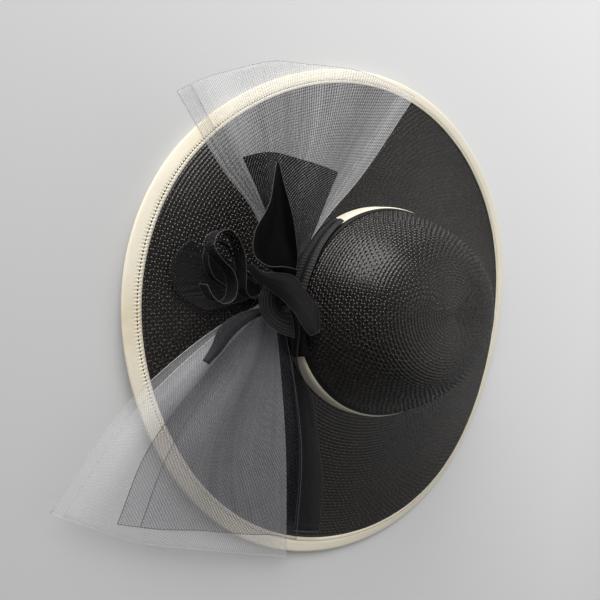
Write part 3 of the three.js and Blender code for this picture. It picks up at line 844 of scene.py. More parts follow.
for piece in (straw_crown, crown_plaits):
    as_part_of(piece, "crown")
for piece in (straw_brim, brim_plaits):
    as_part_of(piece, "brim")
print("straw pieces:", straw_crown.name, crown_plaits.name, straw_brim.name, brim_plaits.name)

# %% [markdown]
# Cream tape and ribbon
#
# A cotton tape is folded over the edge of the brim, and a ribbed ribbon of the same cream lies round
# the foot of the crown. Waves along the cloth's own map make its ribs, so they follow the cloth round
# the hat. Both are a little soiled, more so in two places on the tape.

# %% Cream cloth
CREAM = (0.80, 0.75, 0.62)
SOILED = (0.66, 0.55, 0.37)
SOIL = {"scale": 22.0, "share": 0.34}
STAINS_MM = ((-167, 118, 2), (-203, -18, 0))
STAIN = {"reach": 0.03, "scale": 160.0, "strength": 1.1}
CREASES = {"scale": 130.0, "height": 6.0}
RIB_BUMP = 0.5
CREAM_FINISH = {"Roughness": 0.75, "Sheen Weight": 0.2}


def uv_of(tree):
    """The u and v of a piece's own map, in metres."""
    split = add_node(tree, "ShaderNodeSeparateXYZ", {0: add_node(tree, "ShaderNodeUVMap").outputs[0]})
    return split.outputs["X"], split.outputs["Y"]


def wave(tree, value, pitch):
    """A wave from -1 to 1 with a given pitch."""
    return calculate(tree, "SINE", calculate(tree, "MULTIPLY", value, 2 * math.pi / pitch))


def fading(tree, value, reach):
    """1 where a value is 0, and 0 from its reach on."""
    return calculate(tree, "SUBTRACT", 1.0, calculate(tree, "DIVIDE", value, reach), clamp=True)


def soiled_by(tree, place, soil, stain):
    """The soil with one more patchy stain on it."""
    away_in = {0: place, 1: tuple(in_frame(stain))}
    away = add_node(tree, "ShaderNodeVectorMath", away_in, operation="DISTANCE").outputs["Value"]
    grain = noise_at(tree, place, STAIN["scale"], detail=3.0)
    patchy = calculate(tree, "MULTIPLY", fading(tree, away, STAIN["reach"]), grain)
    return calculate(tree, "MULTIPLY_ADD", patchy, STAIN["strength"], soil, clamp=True)


def cream_cloth(name, rib_pitch, weft_pitch, rib_height, stains=()):
    material, tree = clear_material(name)
    place = own_place(tree)
    u, v = uv_of(tree)
    soil = calculate(tree, "MULTIPLY", noise_at(tree, place, SOIL["scale"], detail=5.0), SOIL["share"])
    for stain in stains:
        soil = soiled_by(tree, place, soil, stain)
    ribs = calculate(tree, "ADD", wave(tree, u, rib_pitch), wave(tree, v, weft_pitch))
    creased = noise_at(tree, place, CREASES["scale"])
    height = calculate(tree, "ADD", ribs, calculate(tree, "MULTIPLY", creased, CREASES["height"]))
    bump = add_node(tree, "ShaderNodeBump", {"Strength": RIB_BUMP, "Distance": rib_height, "Height": height})
    colour = mixed_colour(tree, soil, CREAM, SOILED)
    inputs = {"Base Color": colour, "Normal": bump.outputs[0], **CREAM_FINISH}
    return finish_material(material, surface_shader(tree, inputs))


TAPE_RIBS = {"rib_pitch": 0.7 * MM, "weft_pitch": 0.7 * MM, "rib_height": 0.05 * MM}
RIBBON_RIBS = {"rib_pitch": 0.9 * MM, "weft_pitch": 9.0 * MM, "rib_height": 0.08 * MM}
cream_tape = cream_cloth("cream_tape", **TAPE_RIBS, stains=STAINS_MM)
cream_ribbon = cream_cloth("cream_ribbon", **RIBBON_RIBS)
print("made", cream_tape.name, "and", cream_ribbon.name)

# %% [markdown]
# The tape's section is a thin U that hugs the brim at its inner edge and swells towards the fold. A
# row of holes runs round it. They are real gaps in the mesh, one in every second column, because a
# painted hole would look flat from the side. The tape puckers a little round them.

# %% Tape
TAPE_THICK = 0.35
HOLE_COUNT = 520
HOLE_ROW = 1
TAPE_PUCKER = 0.09
PUCKER_FADE = (1.0, 1.0, 0.8, 0.4)
SLOW_PUCKERS = (37, 11)
SKIN = STRAW_WALL / 2 + BINDING_EASE + BINDING_WALL
HEEL_INWARD = 0.5
FOOT_WIDTH = 1.6
TAPE_TOP = ((12.0, 1.22), (9.7, 1.42), (9.0, 1.5), (6.5, 1.66), (4.0, 1.8), (2.0, 1.85), (1.1, 1.75),
            (0.35, 1.35), (0.0, 0.74))
TAPE_UNDER = ((4.0, -1.85), (7.0, -1.7), (12.0, -1.22))


def tape_path(angle):
    """The outer side of the tape's section, from its edge above the brim to its edge below."""
    path = [edge_point(angle, inward, above) for inward, above in TAPE_TOP]
    heel = edge_point(angle, HEEL_INWARD, -SKIN)
    heel[:, 2] = rim_height(angle) - SKIN
    shorten = 1 - FOOT_WIDTH / np.hypot(heel[:, 0], heel[:, 1])
    toe = heel * np.stack([shorten, shorten, np.ones_like(shorten)], axis=-1)
    path += [heel, toe] + [edge_point(angle, inward, above) for inward, above in TAPE_UNDER]
    return np.stack(path)


def hole_walls(holes, columns, size):
    """The four small walls of each hole, between the tape's outer and inner side."""
    faces = []
    for j in holes:
        k = (j + 1) % columns
        low, high = HOLE_ROW * columns, (HOLE_ROW + 1) * columns
        ring = [low + j, low + k, high + k, high + j]
        for a, b in zip(ring, ring[1:] + ring[:1]):
            faces.append((b, a, size + a, size + b))
    return faces


def round_map(angle, mean_radius, across):
    """A map for rings of points: the way round the hat, and the way across the cloth."""
    both = np.broadcast_arrays((angle * mean_radius)[None, :], across[:, None])
    return np.stack(both, axis=-1).reshape(-1, 2) * MM


def folded_tape():
    columns = 2 * HOLE_COUNT
    angle = np.arange(columns) * 2 * np.pi / columns
    outer = tape_path(angle)
    rows = len(outer)
    normal = grid_normals(outer, wrap=True)
    if np.sum(normal[0] * (outer[0] - outer.mean(axis=0))) < 0:
        normal = -normal
    slow = np.sin(SLOW_PUCKERS[0] * angle) * np.cos(SLOW_PUCKERS[1] * angle)
    pucker = TAPE_PUCKER * (np.cos(HOLE_COUNT * angle) + slow)
    fade = np.array([*PUCKER_FADE, *[0.0] * (rows - len(PUCKER_FADE))])
    outer = outer + normal * (pucker[None, :] * fade[:, None])[..., None]
    inner = outer - normal * TAPE_THICK
    size = rows * columns
    holes = set(range(0, columns, 2))
    faces = ring_strip(size, 0, columns) + ring_strip(size - columns, 2 * size - columns, columns)
    for i in range(rows - 1):
        skipped = holes if i == HOLE_ROW else ()
        a = i * columns
        faces += ring_strip(a, a + columns, columns, skipped)
        faces += [face[::-1] for face in ring_strip(size + a, size + a + columns, columns, skipped)]
    faces += hole_walls(holes, columns, size)
    across = np.concatenate([[0], np.cumsum(np.linalg.norm(np.diff(outer[:, 0], axis=0), axis=-1))])
    uv = round_map(angle, RIM_RADIUS, across)
    points = np.concatenate([outer.reshape(-1, 3), inner.reshape(-1, 3)])
    return new_piece("folded_tape", points, faces, cream_tape, np.concatenate([uv, uv]))


tape = folded_tape()
print("the tape has", triangles_of(tape), "triangles and", HOLE_COUNT, "holes")

# %% [markdown]
# Between two holes the threads are drawn together into a small bright bar. All bars are the same
# little bead, so the tree of the plait puts them between the holes, with this shape and size.

# %% Bars between the holes
BAR_SHAPE = {
    "Length": 1.35 * MM,
    "Width": 1.15 * MM,
    "Height": 0.9 * MM,
    "Unevenness": math.radians(9),
    "Tilt": 0.0,
    "Seed": 5,
    "Material": cream_tape,
}
BAR_AFTER_HOLE = 0.75
BAR_INWARD = 9.35
BAR_ABOVE = 1.5


def small_bead(name):
    work = bmesh.new()
    bmesh.ops.create_icosphere(work, subdivisions=1, radius=0.5)
    mesh = bpy.data.meshes.new(name)
    work.to_mesh(mesh)
    work.free()
    return bpy.data.objects.new(name, mesh)


bar_angle = (np.arange(HOLE_COUNT) + BAR_AFTER_HOLE) * 2 * np.pi / HOLE_COUNT
bar_place = edge_point(bar_angle, BAR_INWARD, BAR_ABOVE)
bar_out = edge_point(bar_angle, BAR_INWARD, BAR_ABOVE + 1.0) - bar_place
bar_along = np.stack([-np.sin(bar_angle), np.cos(bar_angle), 0 * bar_angle], axis=-1)
bar_ways = {"out": bar_out, "along": bar_along}
hem_bars = loose_object("hem_bars", in_frame(bar_place), vectors=bar_ways)
grown_by(plaits, hem_bars, {"Shape": small_bead("bead"), **BAR_SHAPE})
print("hem bars:", HOLE_COUNT, "in", triangles_of(hem_bars), "triangles")

# %% [markdown]
# The tape and its bars stand in for the solid binding and move with the hat. The tape is as wide as
# its section is long, and as long as the brim's edge.

# %% Tape in its place
for piece in (tape, hem_bars):
    as_part_of(piece, "brim_binding")

# %% [markdown]
# The ribbon is a closed band on the crown's oval, a little off the straw. It follows the crown's own
# formula, so it lies on the crown at every angle. The function can also fold a band, for the net
# above the ribbon.

# %% Ribbon
BAND_FOOT = JOIN_HEIGHT + STRAW_WALL / 2 + GAP
BAND_HEIGHT = 12.4
BAND_COLUMNS = 240
RIBBON_OFF = (0.15, 0.6)
RIBBON_ROWS = 10
SASH_FOLDS = 3
FOLDS_WANDER = {"size": 1.5, "count": 3}


def band(name, foot, head, off, rows, material, fold_depth=0.0):
    """A closed band round the crown, from a foot height to a head height."""
    angle = np.arange(BAND_COLUMNS) * 2 * np.pi / BAND_COLUMNS
    share = np.linspace(0, 1, rows)[:, None]
    height = foot + (head - foot) * share + 0 * angle
    wander = FOLDS_WANDER["size"] * np.sin(FOLDS_WANDER["count"] * angle)
    ruche = fold_depth * np.sin(np.pi * share) * np.cos(2 * np.pi * SASH_FOLDS * share + wander)
    outer = crown_point(angle[None, :], height, off[1] + ruche)
    inner = crown_point(angle[None, :], height, off[0])
    faces = []
    for i in range(2 * rows):
        after = (i + 1) % (2 * rows)
        faces += ring_strip(after * BAND_COLUMNS, i * BAND_COLUMNS, BAND_COLUMNS)
    rise = np.concatenate([height, height[::-1]])[:, 0]
    uv = round_map(angle, mean_half, rise)
    loop = np.concatenate([outer, inner[::-1]])
    return new_piece(name, loop.reshape(-1, 3), faces, material, uv)


ribbon = band("ribbon", BAND_FOOT, BAND_FOOT + BAND_HEIGHT, RIBBON_OFF, RIBBON_ROWS, cream_ribbon)
as_part_of(ribbon, "crown_band")
print("the ribbon has", triangles_of(ribbon), "triangles")

# %% [markdown]
# Black net drawn tight
#
# The black net lies in several layers in the sash, in the gather beside the bow and in the knot. So
# it is closed cloth there and not sheer: nearly black, with a fine woven bump and a weak shine.

# %% Black cloth
BLACK_CLOTH = (0.007, 0.007, 0.0085)
BLACK_IN_SHADE = 0.6
BLACK_GRAIN = 700.0
BLACK_WEAVE = 0.8 * MM
BLACK_BUMP = {"Strength": 0.4, "Distance": 0.1 * MM}
BLACK_FINISH = {"Roughness": 0.5, "Specular IOR Level": 0.3}


def darker(colour, share):
    return tuple(value * share for value in colour)


def black_cloth(name):
    material, tree = clear_material(name)
    fine = noise_at(tree, own_place(tree), BLACK_GRAIN, detail=3.0)
    u, v = uv_of(tree)
    weave = calculate(tree, "MULTIPLY", wave(tree, u, BLACK_WEAVE), wave(tree, v, BLACK_WEAVE))
    bump = add_node(tree, "ShaderNodeBump", {**BLACK_BUMP, "Height": weave})
    colour = mixed_colour(tree, fine, darker(BLACK_CLOTH, BLACK_IN_SHADE), BLACK_CLOTH)
    inputs = {"Base Color": colour, "Normal": bump.outputs[0], **BLACK_FINISH}
    return finish_material(material, surface_shader(tree, inputs))


sash_cloth = black_cloth("black_sash")
print("made", sash_cloth.name)

# %% [markdown]
# Above the ribbon the net is drawn tight round the crown, in soft folds that run along it.

# %% Sash
SASH_FOOT = BAND_FOOT + BAND_HEIGHT + GAP
SASH_HEIGHT = 4.0
SASH_OFF = (0.1, 0.45)
SASH_ROWS = 21
SASH_FOLD_DEPTH = 0.16

sash = band("sash", SASH_FOOT, SASH_FOOT + SASH_HEIGHT, SASH_OFF, SASH_ROWS, sash_cloth, SASH_FOLD_DEPTH)
as_part_of(sash, "crown_sash")
print("the sash has", triangles_of(sash), "triangles")

# %% [markdown]
# A sheet of cloth is a grid of points with a thin wall: one side a little above the grid, one side a
# little below it, and a strip all round. Its map runs over the flat cloth in metres, so that a weave
# keeps its size however the sheet is bent.

# %% Sheets from grids
def closed_sheet(name, grid, wall, material, flat):
    """A thin closed sheet on a grid of points."""
    rows, columns = grid.shape[:2]
    half_wall = grid_normals(grid) * wall / 2
    points = np.concatenate([(grid + half_wall).reshape(-1, 3), (grid - half_wall).reshape(-1, 3)])
    size = rows * columns
    faces = grid_faces(rows, columns).tolist() + grid_faces(rows, columns, size, flip=True).tolist()
    index = np.arange(size).reshape(rows, columns)
    rim = np.concatenate([index[:, 0], index[-1, 1:], index[-2::-1, -1], index[0, -2::-1]]).tolist()
    faces += [(b, a, size + a, size + b) for a, b in zip(rim, rim[1:])]
    u, v = np.meshgrid(np.linspace(0, flat[0], columns), np.linspace(0, flat[1], rows))
    uv = np.stack([u, v], axis=-1).reshape(-1, 2)
    return new_piece(name, points, faces, material, np.concatenate([uv, uv]))


def shares_of(rows, columns):
    """For each point of a grid, its share of the way down and of the way across."""
    return np.meshgrid(np.linspace(0, 1, rows), np.linspace(0, 1, columns), indexing="ij")


print("sheet helpers ready")

# %% [markdown]
# Beside the bow the net is gathered over both bands, in fine upright pleats with a few broad folds
# across them. Its upper edge climbs from its upper end towards the bow.

# %% Gather
GATHER_FROM = 133.0
GATHER_TO = 206.0
GATHER_TOP = 40.0
GATHER_END_TOP = 35.5
GATHER_RISES_WITHIN = 0.4
GATHER_OFF = 3.4
GATHER_LIFT = 0.6
GATHER_PLEATS = 2.5
GATHER_PLEAT_DEPTH = 0.5
FINE_PLEATS = 46
FINE_PLEAT_DEPTH = 0.14
FINE_WANDER = {"size": 0.012, "down": 7, "across": 4}
GATHER_ROWS = 28
GATHER_COLUMNS = 320
GATHER_WALL = 0.4
GATHER_FLAT = (0.125, 0.023)


def gather_grid(rows, columns):
    share, across = shares_of(rows, columns)
    angle = np.radians(GATHER_FROM + (GATHER_TO - GATHER_FROM) * across)
    top = GATHER_END_TOP + (GATHER_TOP - GATHER_END_TOP) * np.minimum(1, across / GATHER_RISES_WITHIN)
    height = BAND_FOOT + GATHER_LIFT + (top - BAND_FOOT - GATHER_LIFT) * share
    broad = GATHER_PLEAT_DEPTH * np.cos(share * 2 * np.pi * GATHER_PLEATS)
    wander = FINE_WANDER["size"] * np.sin(FINE_WANDER["down"] * share + FINE_WANDER["across"] * across)
    fine = FINE_PLEAT_DEPTH * np.cos(2 * np.pi * FINE_PLEATS * (across + wander))
    return crown_point(angle, height, GATHER_OFF + broad + fine)


gather_points = gather_grid(GATHER_ROWS, GATHER_COLUMNS)
gather = closed_sheet("gather", gather_points, GATHER_WALL, sash_cloth, GATHER_FLAT)
as_part_of(gather, "sash_gather")
print("the gather has", triangles_of(gather), "triangles")

# %% [markdown]
# The knot is several turns of net pulled tight. One rounded bundle with creases that wind round it is
# enough, because the bow hides most of it.

# %% Knot
KNOT_CENTRE = np.array([-117.0, 10.0, 30.5])
KNOT_HALF = np.array([10.6, 14.0, 12.4])
KNOT_TURNS = 9
KNOT_TWIST = 0.8
KNOT_CREASE = 0.1
KNOT_ROWS = 40
KNOT_COLUMNS = 72


def knot():
    """A bundle with creases that wind round it."""
    down = np.linspace(0, np.pi, KNOT_ROWS)[:, None]
    round_way = np.arange(KNOT_COLUMNS)[None, :] * 2 * np.pi / KNOT_COLUMNS
    x = np.sin(down) * np.cos(round_way)
    y = np.cos(down) + 0 * round_way
    z = np.sin(down) * np.sin(round_way)
    crease = np.abs(np.sin(0.5 * KNOT_TURNS * (np.arctan2(z, x) + KNOT_TWIST * y)))
    fold = 1 - KNOT_CREASE * (1 - crease) ** 2
    points = KNOT_CENTRE + np.stack([x * fold, y, z * fold], axis=-1) * KNOT_HALF
    faces = []
    for i in range(KNOT_ROWS - 1):
        faces += ring_strip(i * KNOT_COLUMNS, (i + 1) * KNOT_COLUMNS, KNOT_COLUMNS)
    u, v = np.broadcast_arrays(round_way * KNOT_HALF[0] * MM, down * KNOT_HALF[1] * MM)
    uv = np.stack([u, v], axis=-1).reshape(-1, 2)
    piece = new_piece("knot", points.reshape(-1, 3), faces, sash_cloth, uv)
    tidy_mesh(piece)
    return piece


knot_piece = knot()
as_part_of(knot_piece, "bow_knot")
print("the knot has", triangles_of(knot_piece), "triangles")

# %% [markdown]
# Net
#
# Crinoline net is an open weave of stiff nylon threads. Real threads would take millions of faces, so
# each sheet is whole and its material decides where there is thread and where there is air. Two
# families of soft lines cross each other, one heavier than the other. Soft lines are used because
# hard ones, only a pixel or two wide, would beat with the pixels of the picture.
# The lines read the sheet's own map, so they close up where the net is gathered. Noise makes the
# threads a little thicker here and thinner there, and a side where the net lies double, or single,
# can have another number of layers.

# %% Net material
GATHERED_WITHIN = 0.07
GATHERED_MORE = 0.9
NET_STREAKS = {"across": 160.0, "along": 12.0}
NET_PATCHES = {"scale": 60.0, "swing": 0.3}
THREAD_IN_SHADE = 0.85
THREAD_ROUGHNESS = 0.5
THREAD_GRAIN = 500.0
ON_THE_BIAS = (-40, 50)


def thread_lines(tree, along, pitch, duty):
    """A soft row of threads a pitch apart, which fills a duty of the area."""
    return calculate(tree, "MULTIPLY_ADD", wave(tree, along, pitch), duty, duty)


def net_density(tree, u, v, gathers, sides, side_layers):
    """How many times denser than the open net it is, at each place."""
    patches = noise_at(tree, own_place(tree), NET_PATCHES["scale"], detail=4.0)
    patchy = calculate(tree, "MULTIPLY_ADD", patches, NET_PATCHES["swing"], 1 - NET_PATCHES["swing"] / 2)
    streak_at = add_node(tree, "ShaderNodeCombineXYZ", {
        "X": calculate(tree, "MULTIPLY", u, NET_STREAKS["across"]),
        "Y": calculate(tree, "MULTIPLY", v, NET_STREAKS["along"]),
    }).outputs[0]
    streaks = noise_at(tree, streak_at, 1.0, detail=3.0)
    streaky = calculate(tree, "MULTIPLY_ADD", streaks, gathers, 1 - gathers / 2)
    near_knot = fading(tree, v, GATHERED_WITHIN)
    crowded = calculate(tree, "MULTIPLY_ADD", near_knot, GATHERED_MORE, 1.0)
    left = calculate(tree, "LESS_THAN", u, sides[0])
    right = calculate(tree, "GREATER_THAN", u, sides[1])
    layers = calculate(tree, "MULTIPLY_ADD", calculate(tree, "ADD", left, right), side_layers - 1, 1.0)
    density = calculate(tree, "MULTIPLY", patchy, streaky)
    return calculate(tree, "MULTIPLY", density, calculate(tree, "MULTIPLY", crowded, layers))


def net_material(name, thread, pitch, main, cross, gloss, gathers, slants=ON_THE_BIAS, sides=(0.0, 1.0),
                 side_layers=1.0):
    """A sheer net. main and cross are the shares of the area that the two families fill.

    Where u is below or above the two values of sides, the net has another number of layers.
    """
    material, tree = clear_material(name)
    u, v = uv_of(tree)
    density = net_density(tree, u, v, gathers, sides, side_layers)
    lines = []
    for duty, slant in ((main, slants[0]), (cross, slants[1])):
        across = calculate(tree, "MULTIPLY", u, math.cos(math.radians(slant)))
        across = calculate(tree, "MULTIPLY_ADD", v, math.sin(math.radians(slant)), across)
        lines.append(thread_lines(tree, across, pitch * MM, calculate(tree, "MULTIPLY", density, duty)))
    cover = calculate(tree, "ADD", lines[0], lines[1], clamp=True)
    fine = noise_at(tree, own_place(tree), THREAD_GRAIN)
    colour = mixed_colour(tree, fine, darker(thread, THREAD_IN_SHADE), thread)
    inputs = {"Base Color": colour, "Roughness": THREAD_ROUGHNESS, "Specular IOR Level": gloss}
    air = add_node(tree, "ShaderNodeBsdfTransparent").outputs[0]
    both = add_node(tree, "ShaderNodeMixShader", {0: cover, 1: air, 2: surface_shader(tree, inputs)})
    return finish_material(material, both.outputs[0])


def plain_thread(name, colour):
    material, tree = clear_material(name)
    inputs = {"Base Color": (*colour, 1.0), "Roughness": THREAD_ROUGHNESS}
    return finish_material(material, surface_shader(tree, inputs))


print("net helpers ready")

# %% [markdown]
# The bow has eight kinds of net, from a sheer pale one to black net that is folded until hardly any
# light gets through. The darkest of them also carries painted shade. Each has a cord of its own along
# its edges.

# %% Kinds of net
# The cool tint of the pale and dark threads is a painted reflection of bluish light; their grey is their
# own.
NETS = {
    "grey_net": {"thread": (0.82, 0.82, 0.83), "pitch": 1.75, "main": 0.125, "cross": 0.055, "gloss": 0.4,
                 "gathers": 0.9, "slants": (8, -74), "sides": (0.016, 0.188), "side_layers": 1.3},
    "pale_net": {"thread": (0.82, 0.81, 0.84), "pitch": 1.2, "main": 0.15, "cross": 0.08, "gloss": 0.4,
                 "gathers": 0.5, "slants": (24, -66), "sides": (0.010, 1.0), "side_layers": 0.45},
    "dark_net": {"thread": (0.013, 0.015, 0.027), "pitch": 1.6, "main": 0.09, "cross": 0.06, "gloss": 0.25,
                 "gathers": 0.4, "sides": (0.014, 1.0), "side_layers": 0.7},
    "black_net": {"thread": (0.014, 0.014, 0.016), "pitch": 1.5, "main": 0.45, "cross": 0.22, "gloss": 0.2,
                  "gathers": 0.6},
    "petal_net": {"thread": (0.010, 0.010, 0.011), "pitch": 1.7, "main": 0.5, "cross": 0.2, "gloss": 0.2,
                  "gathers": 0.6, "sides": (0.027, 1.0), "side_layers": 1.6},
    "sheer_net": {"thread": (0.014, 0.014, 0.016), "pitch": 1.5, "main": 0.42, "cross": 0.22, "gloss": 0.2,
                  "gathers": 0.6},
    # Painted shade: the curl's net is nearly black and dull, partly for its layers, partly for its hollow.
    "folded_net": {"thread": (0.004, 0.004, 0.0045), "pitch": 1.1, "main": 3.0, "cross": 3.0, "gloss": 0.06,
                   "gathers": 0.5},
    "rolled_net": {"thread": (0.018, 0.018, 0.020), "pitch": 1.4, "main": 1.2, "cross": 0.6, "gloss": 0.12,
                   "gathers": 0.5},
}
CORDS = {
    "grey_net": {"colour": (0.42, 0.42, 0.425), "radius": 0.11},
    "pale_net": {"colour": (0.55, 0.54, 0.54), "radius": 0.15},
    "dark_net": {"colour": (0.08, 0.08, 0.085), "radius": 0.22},
    "black_net": {"colour": (0.07, 0.07, 0.074), "radius": 0.2},
    "petal_net": {"colour": (0.02, 0.02, 0.022), "radius": 0.2},
    "sheer_net": {"colour": (0.025, 0.025, 0.027), "radius": 0.15},
    "folded_net": {"colour": (0.07, 0.07, 0.074), "radius": 0.18},
    "rolled_net": {"colour": (0.09, 0.09, 0.095), "radius": 0.12},
}

net_looks = {}
for name, row in NETS.items():
    cord = CORDS[name]
    thread = plain_thread(name + "_cord", cord["colour"])
    net_looks[name] = {"net": net_material(name, **row), "cord": thread, "radius": cord["radius"]}
print("nets:", ", ".join(net_looks))

# %% [markdown]
# Net springs into smooth curves, so a few places along each line are enough. The curve goes through
# all of them, and it takes its speed from how far apart they lie, so that it makes no loop where two
# of them are close. There are three ways from such curves to a grid: ribs of a fan, the two edges of
# a ribbon, and the path of a ribbon that stands on its edge.

# %% Smooth curves
def smooth_curve(knots, shares):
    """Smooth curves through knots[knot, curve, xyz], read at shares from 0 to 1."""
    knots = np.asarray(knots, dtype=float)
    padded = np.concatenate([[2 * knots[0] - knots[1]], knots, [2 * knots[-1] - knots[-2]]])
    steps = np.maximum(np.sum(np.diff(padded, axis=0) ** 2, axis=-1, keepdims=True) ** 0.25, 1e-4)
    place = np.clip(shares, 0, 1) * (len(knots) - 1)
    first = np.minimum(place.astype(int), len(knots) - 2)
    t = (place - first)[:, None, None]
    x0, x1, x2, x3 = (padded[first + k] for k in range(4))
    d0, d1, d2 = (steps[first + k] for k in range(3))
    leave = ((x1 - x0) / d0 - (x2 - x0) / (d0 + d1) + (x2 - x1) / d1) * d1
    arrive = ((x2 - x1) / d1 - (x3 - x1) / (d1 + d2) + (x3 - x2) / d2) * d1
    square = 3 * (x2 - x1) - 2 * leave - arrive
    cube = 2 * (x1 - x2) + leave + arrive
    return x1 + leave * t + square * t**2 + cube * t**3


def fan_grid(ribs, rows, columns):
    """A fan: each rib runs from its root to its tip, and the net spans from rib to rib."""
    knots = [ribs[key] for key in ("root", "low", "middle", "tip")]
    lines = smooth_curve(knots, np.linspace(0, 1, rows))
    return smooth_curve(lines.transpose(1, 0, 2), np.linspace(0, 1, columns)).transpose(1, 0, 2)


def between_edges(left, right, rows, columns, bulge=0.0):
    """A ribbon between two edges, with its middle raised by the bulge."""
    sides = smooth_curve(np.stack([left, right], axis=1), np.linspace(0, 1, rows))
    share = np.linspace(0, 1, columns)[None, :, None]
    grid = sides[:, :1] + (sides[:, 1:] - sides[:, :1]) * share
    grid[..., 2] += bulge * np.sin(np.pi * share[..., 0])
    return grid


def ribbon_grid(edges, rows, columns, bulge):
    return between_edges(edges["left"], edges["right"], rows, columns, bulge)


def standing_grid(path, rows, columns):
    """A ribbon that stands on its edge along a curling path."""
    low, high = (np.stack([path["x"], path["y"], path[edge]], axis=-1) for edge in ("low", "high"))
    return between_edges(low, high, rows, columns)


print("curves ready")

# %% [markdown]
# Gathered net falls into fine pleats. They are deepest half-way and nearly flat at the free edge,
# and they wander a little, because even ones would look pressed.

# %% Pleats
PLEATS_WANDER = {"size": 0.35, "count": 2.3, "down": 2}
PLEATS_SWELL = {"mean": 0.6, "size": 0.4, "count": 1.7}
PLEATS_GROW = 1.8
PLEATS_FLATTEN = 1.5


def wave_across(across, row, random, shift=0.0):
    """A wave across the cloth that starts at a random place."""
    return row["size"] * np.sin(2 * np.pi * (row["count"] * across + random.random()) + shift)


def pleated(grid, count, depth, seed):
    """A grid with fine pleats along its length."""
    share, across = shares_of(*grid.shape[:2])
    random = np.random.default_rng(seed)
    wander = wave_across(across, PLEATS_WANDER, random, PLEATS_WANDER["down"] * share)
    swell = PLEATS_SWELL["mean"] + wave_across(across, PLEATS_SWELL, random)
    fall = share * (PLEATS_GROW - PLEATS_FLATTEN * share)
    lift = depth * swell * fall * np.cos(2 * np.pi * (count * across + wander))
    return grid + grid_normals(grid) * lift[..., None]


print("pleats ready")

# %% [markdown]
# Every net edge is finished with a thin cord, and some fans have wires in them. A second Geometry
# Nodes tree sweeps a round section along lines of points, so it makes all cords and wires.

# %% Cord tree
CORD_INPUTS = {"Radius": "Float", "Sides": "Int", "Material": "Material"}
CORD_SIDES = 5


def cord_tree():
    tree, given, output = geometry_tree("edge_cords", CORD_INPUTS)
    curve = add_node(tree, "GeometryNodeMeshToCurve", {"Mesh": given.outputs["Geometry"]})
    section_in = {"Radius": given.outputs["Radius"], "Resolution": given.outputs["Sides"]}
    section = add_node(tree, "GeometryNodeCurvePrimitiveCircle", section_in)
    sweep_in = {"Curve": curve.outputs[0], "Profile Curve": section.outputs[0], "Fill Caps": True}
    sweep = add_node(tree, "GeometryNodeCurveToMesh", sweep_in)
    end_geometry_tree(tree, sweep.outputs[0], given.outputs["Material"], output)
    return tree


cord_sweep = cord_tree()


def cords(name, lines, material, radius):
    """One piece of cord along several lines of points."""
    points = []
    edges = []
    for line in lines:
        start = len(points)
        points += list(in_frame(line))
        edges += [(start + i, start + i + 1) for i in range(len(line) - 1)]
    cord_shape = {"Radius": radius * MM, "Sides": CORD_SIDES, "Material": material}
    return grown_by(cord_sweep, loose_object(name, points, edges), cord_shape)


print("the cord tree has", len(cord_sweep.nodes), "nodes")

# %% [markdown]
# One function makes every piece of net: the thin sheet with its pleats, the cord round its free
# edges, and its wires. The flat size of the cloth is measured on the grid before it is pleated.

# %% Net pieces
NET_THICK = 0.06
LEAST_FLAT = 10.0
CORDS_START = 0.12


def flat_of(grid):
    """The width, length and area of a sheet laid flat, in metres."""
    across = np.linalg.norm(np.diff(grid, axis=1), axis=-1).sum(axis=1).max()
    along = np.linalg.norm(np.diff(grid, axis=0), axis=-1).sum(axis=0).mean()
    diagonals = np.cross(grid[1:, 1:] - grid[:-1, :-1], grid[1:, :-1] - grid[:-1, 1:])
    area = np.linalg.norm(diagonals, axis=-1).sum() / 2
    return (max(float(across), LEAST_FLAT) * MM, float(along) * MM), float(area) * MM * MM


def cord_lines(grid, wires):
    """The free edges, down one side, along the end and back, and one line for each wire."""
    first = int(len(grid) * CORDS_START)
    last_column = grid.shape[1] - 1
    edge = np.concatenate([grid[first:, 0], grid[-1, 1:], grid[first:-1, -1][::-1]])
    return [edge] + [grid[first:, round(share * last_column)] for share in wires]


def net_piece(name, node, slot, plain, pleats=0, depth=0.0, wires=(), net=None):
    """A sheet of net with its cords, in the place of its solid."""
    flat, area = flat_of(plain)
    grid = pleated(plain, pleats, depth, seed=len(name)) if pleats else plain
    look = net_looks[net or slot]
    piece = closed_sheet(name, grid, NET_THICK, look["net"], flat)
    edging = cords(name + "_cord", cord_lines(grid, wires), look["cord"], look["radius"])
    for part in (piece, edging):
        as_part_of(part, node)
    print(name, triangles_of(piece), "and its cords", triangles_of(edging), "triangles")
    return piece


print("net pieces can be made")

# %% [markdown]
# Fans
#
# Three fans of net spread from the knot over the brim: one above the bow and two below it. The table
# of a fan has four rows, from the knot outwards, and each row has one place on every rib. The ribs
# are higher and lower by turns, which gives the fan its broad folds.

# %% Upper fan
UPPER_FAN = {
    "root": [
        (-119, 19, 33), (-118, 19, 33.5), (-117, 19, 33.5), (-116, 19, 33.5), (-115, 19, 33.5),
        (-114, 19, 33.5), (-113, 19, 33.5), (-112, 19, 33.5),
    ],
    "low": [
        (-141, 56, 35), (-138, 62, 38), (-133, 66, 36), (-126, 68, 39), (-117, 67, 37), (-106, 66, 39),
        (-96, 64, 38), (-87, 64, 38),
    ],
    "middle": [
        (-169, 78, 38), (-163, 89, 43), (-153, 99, 39), (-136, 107, 44), (-117, 109, 40),
        (-98, 110, 44), (-78, 107, 41), (-61, 101, 41),
    ],
    "tip": [
        (-203, 110, 44), (-192, 119, 49), (-172, 134, 43), (-151, 145, 50), (-120, 158, 43),
        (-88, 165, 49), (-48, 172, 44), (-22, 171, 46),
    ],
}

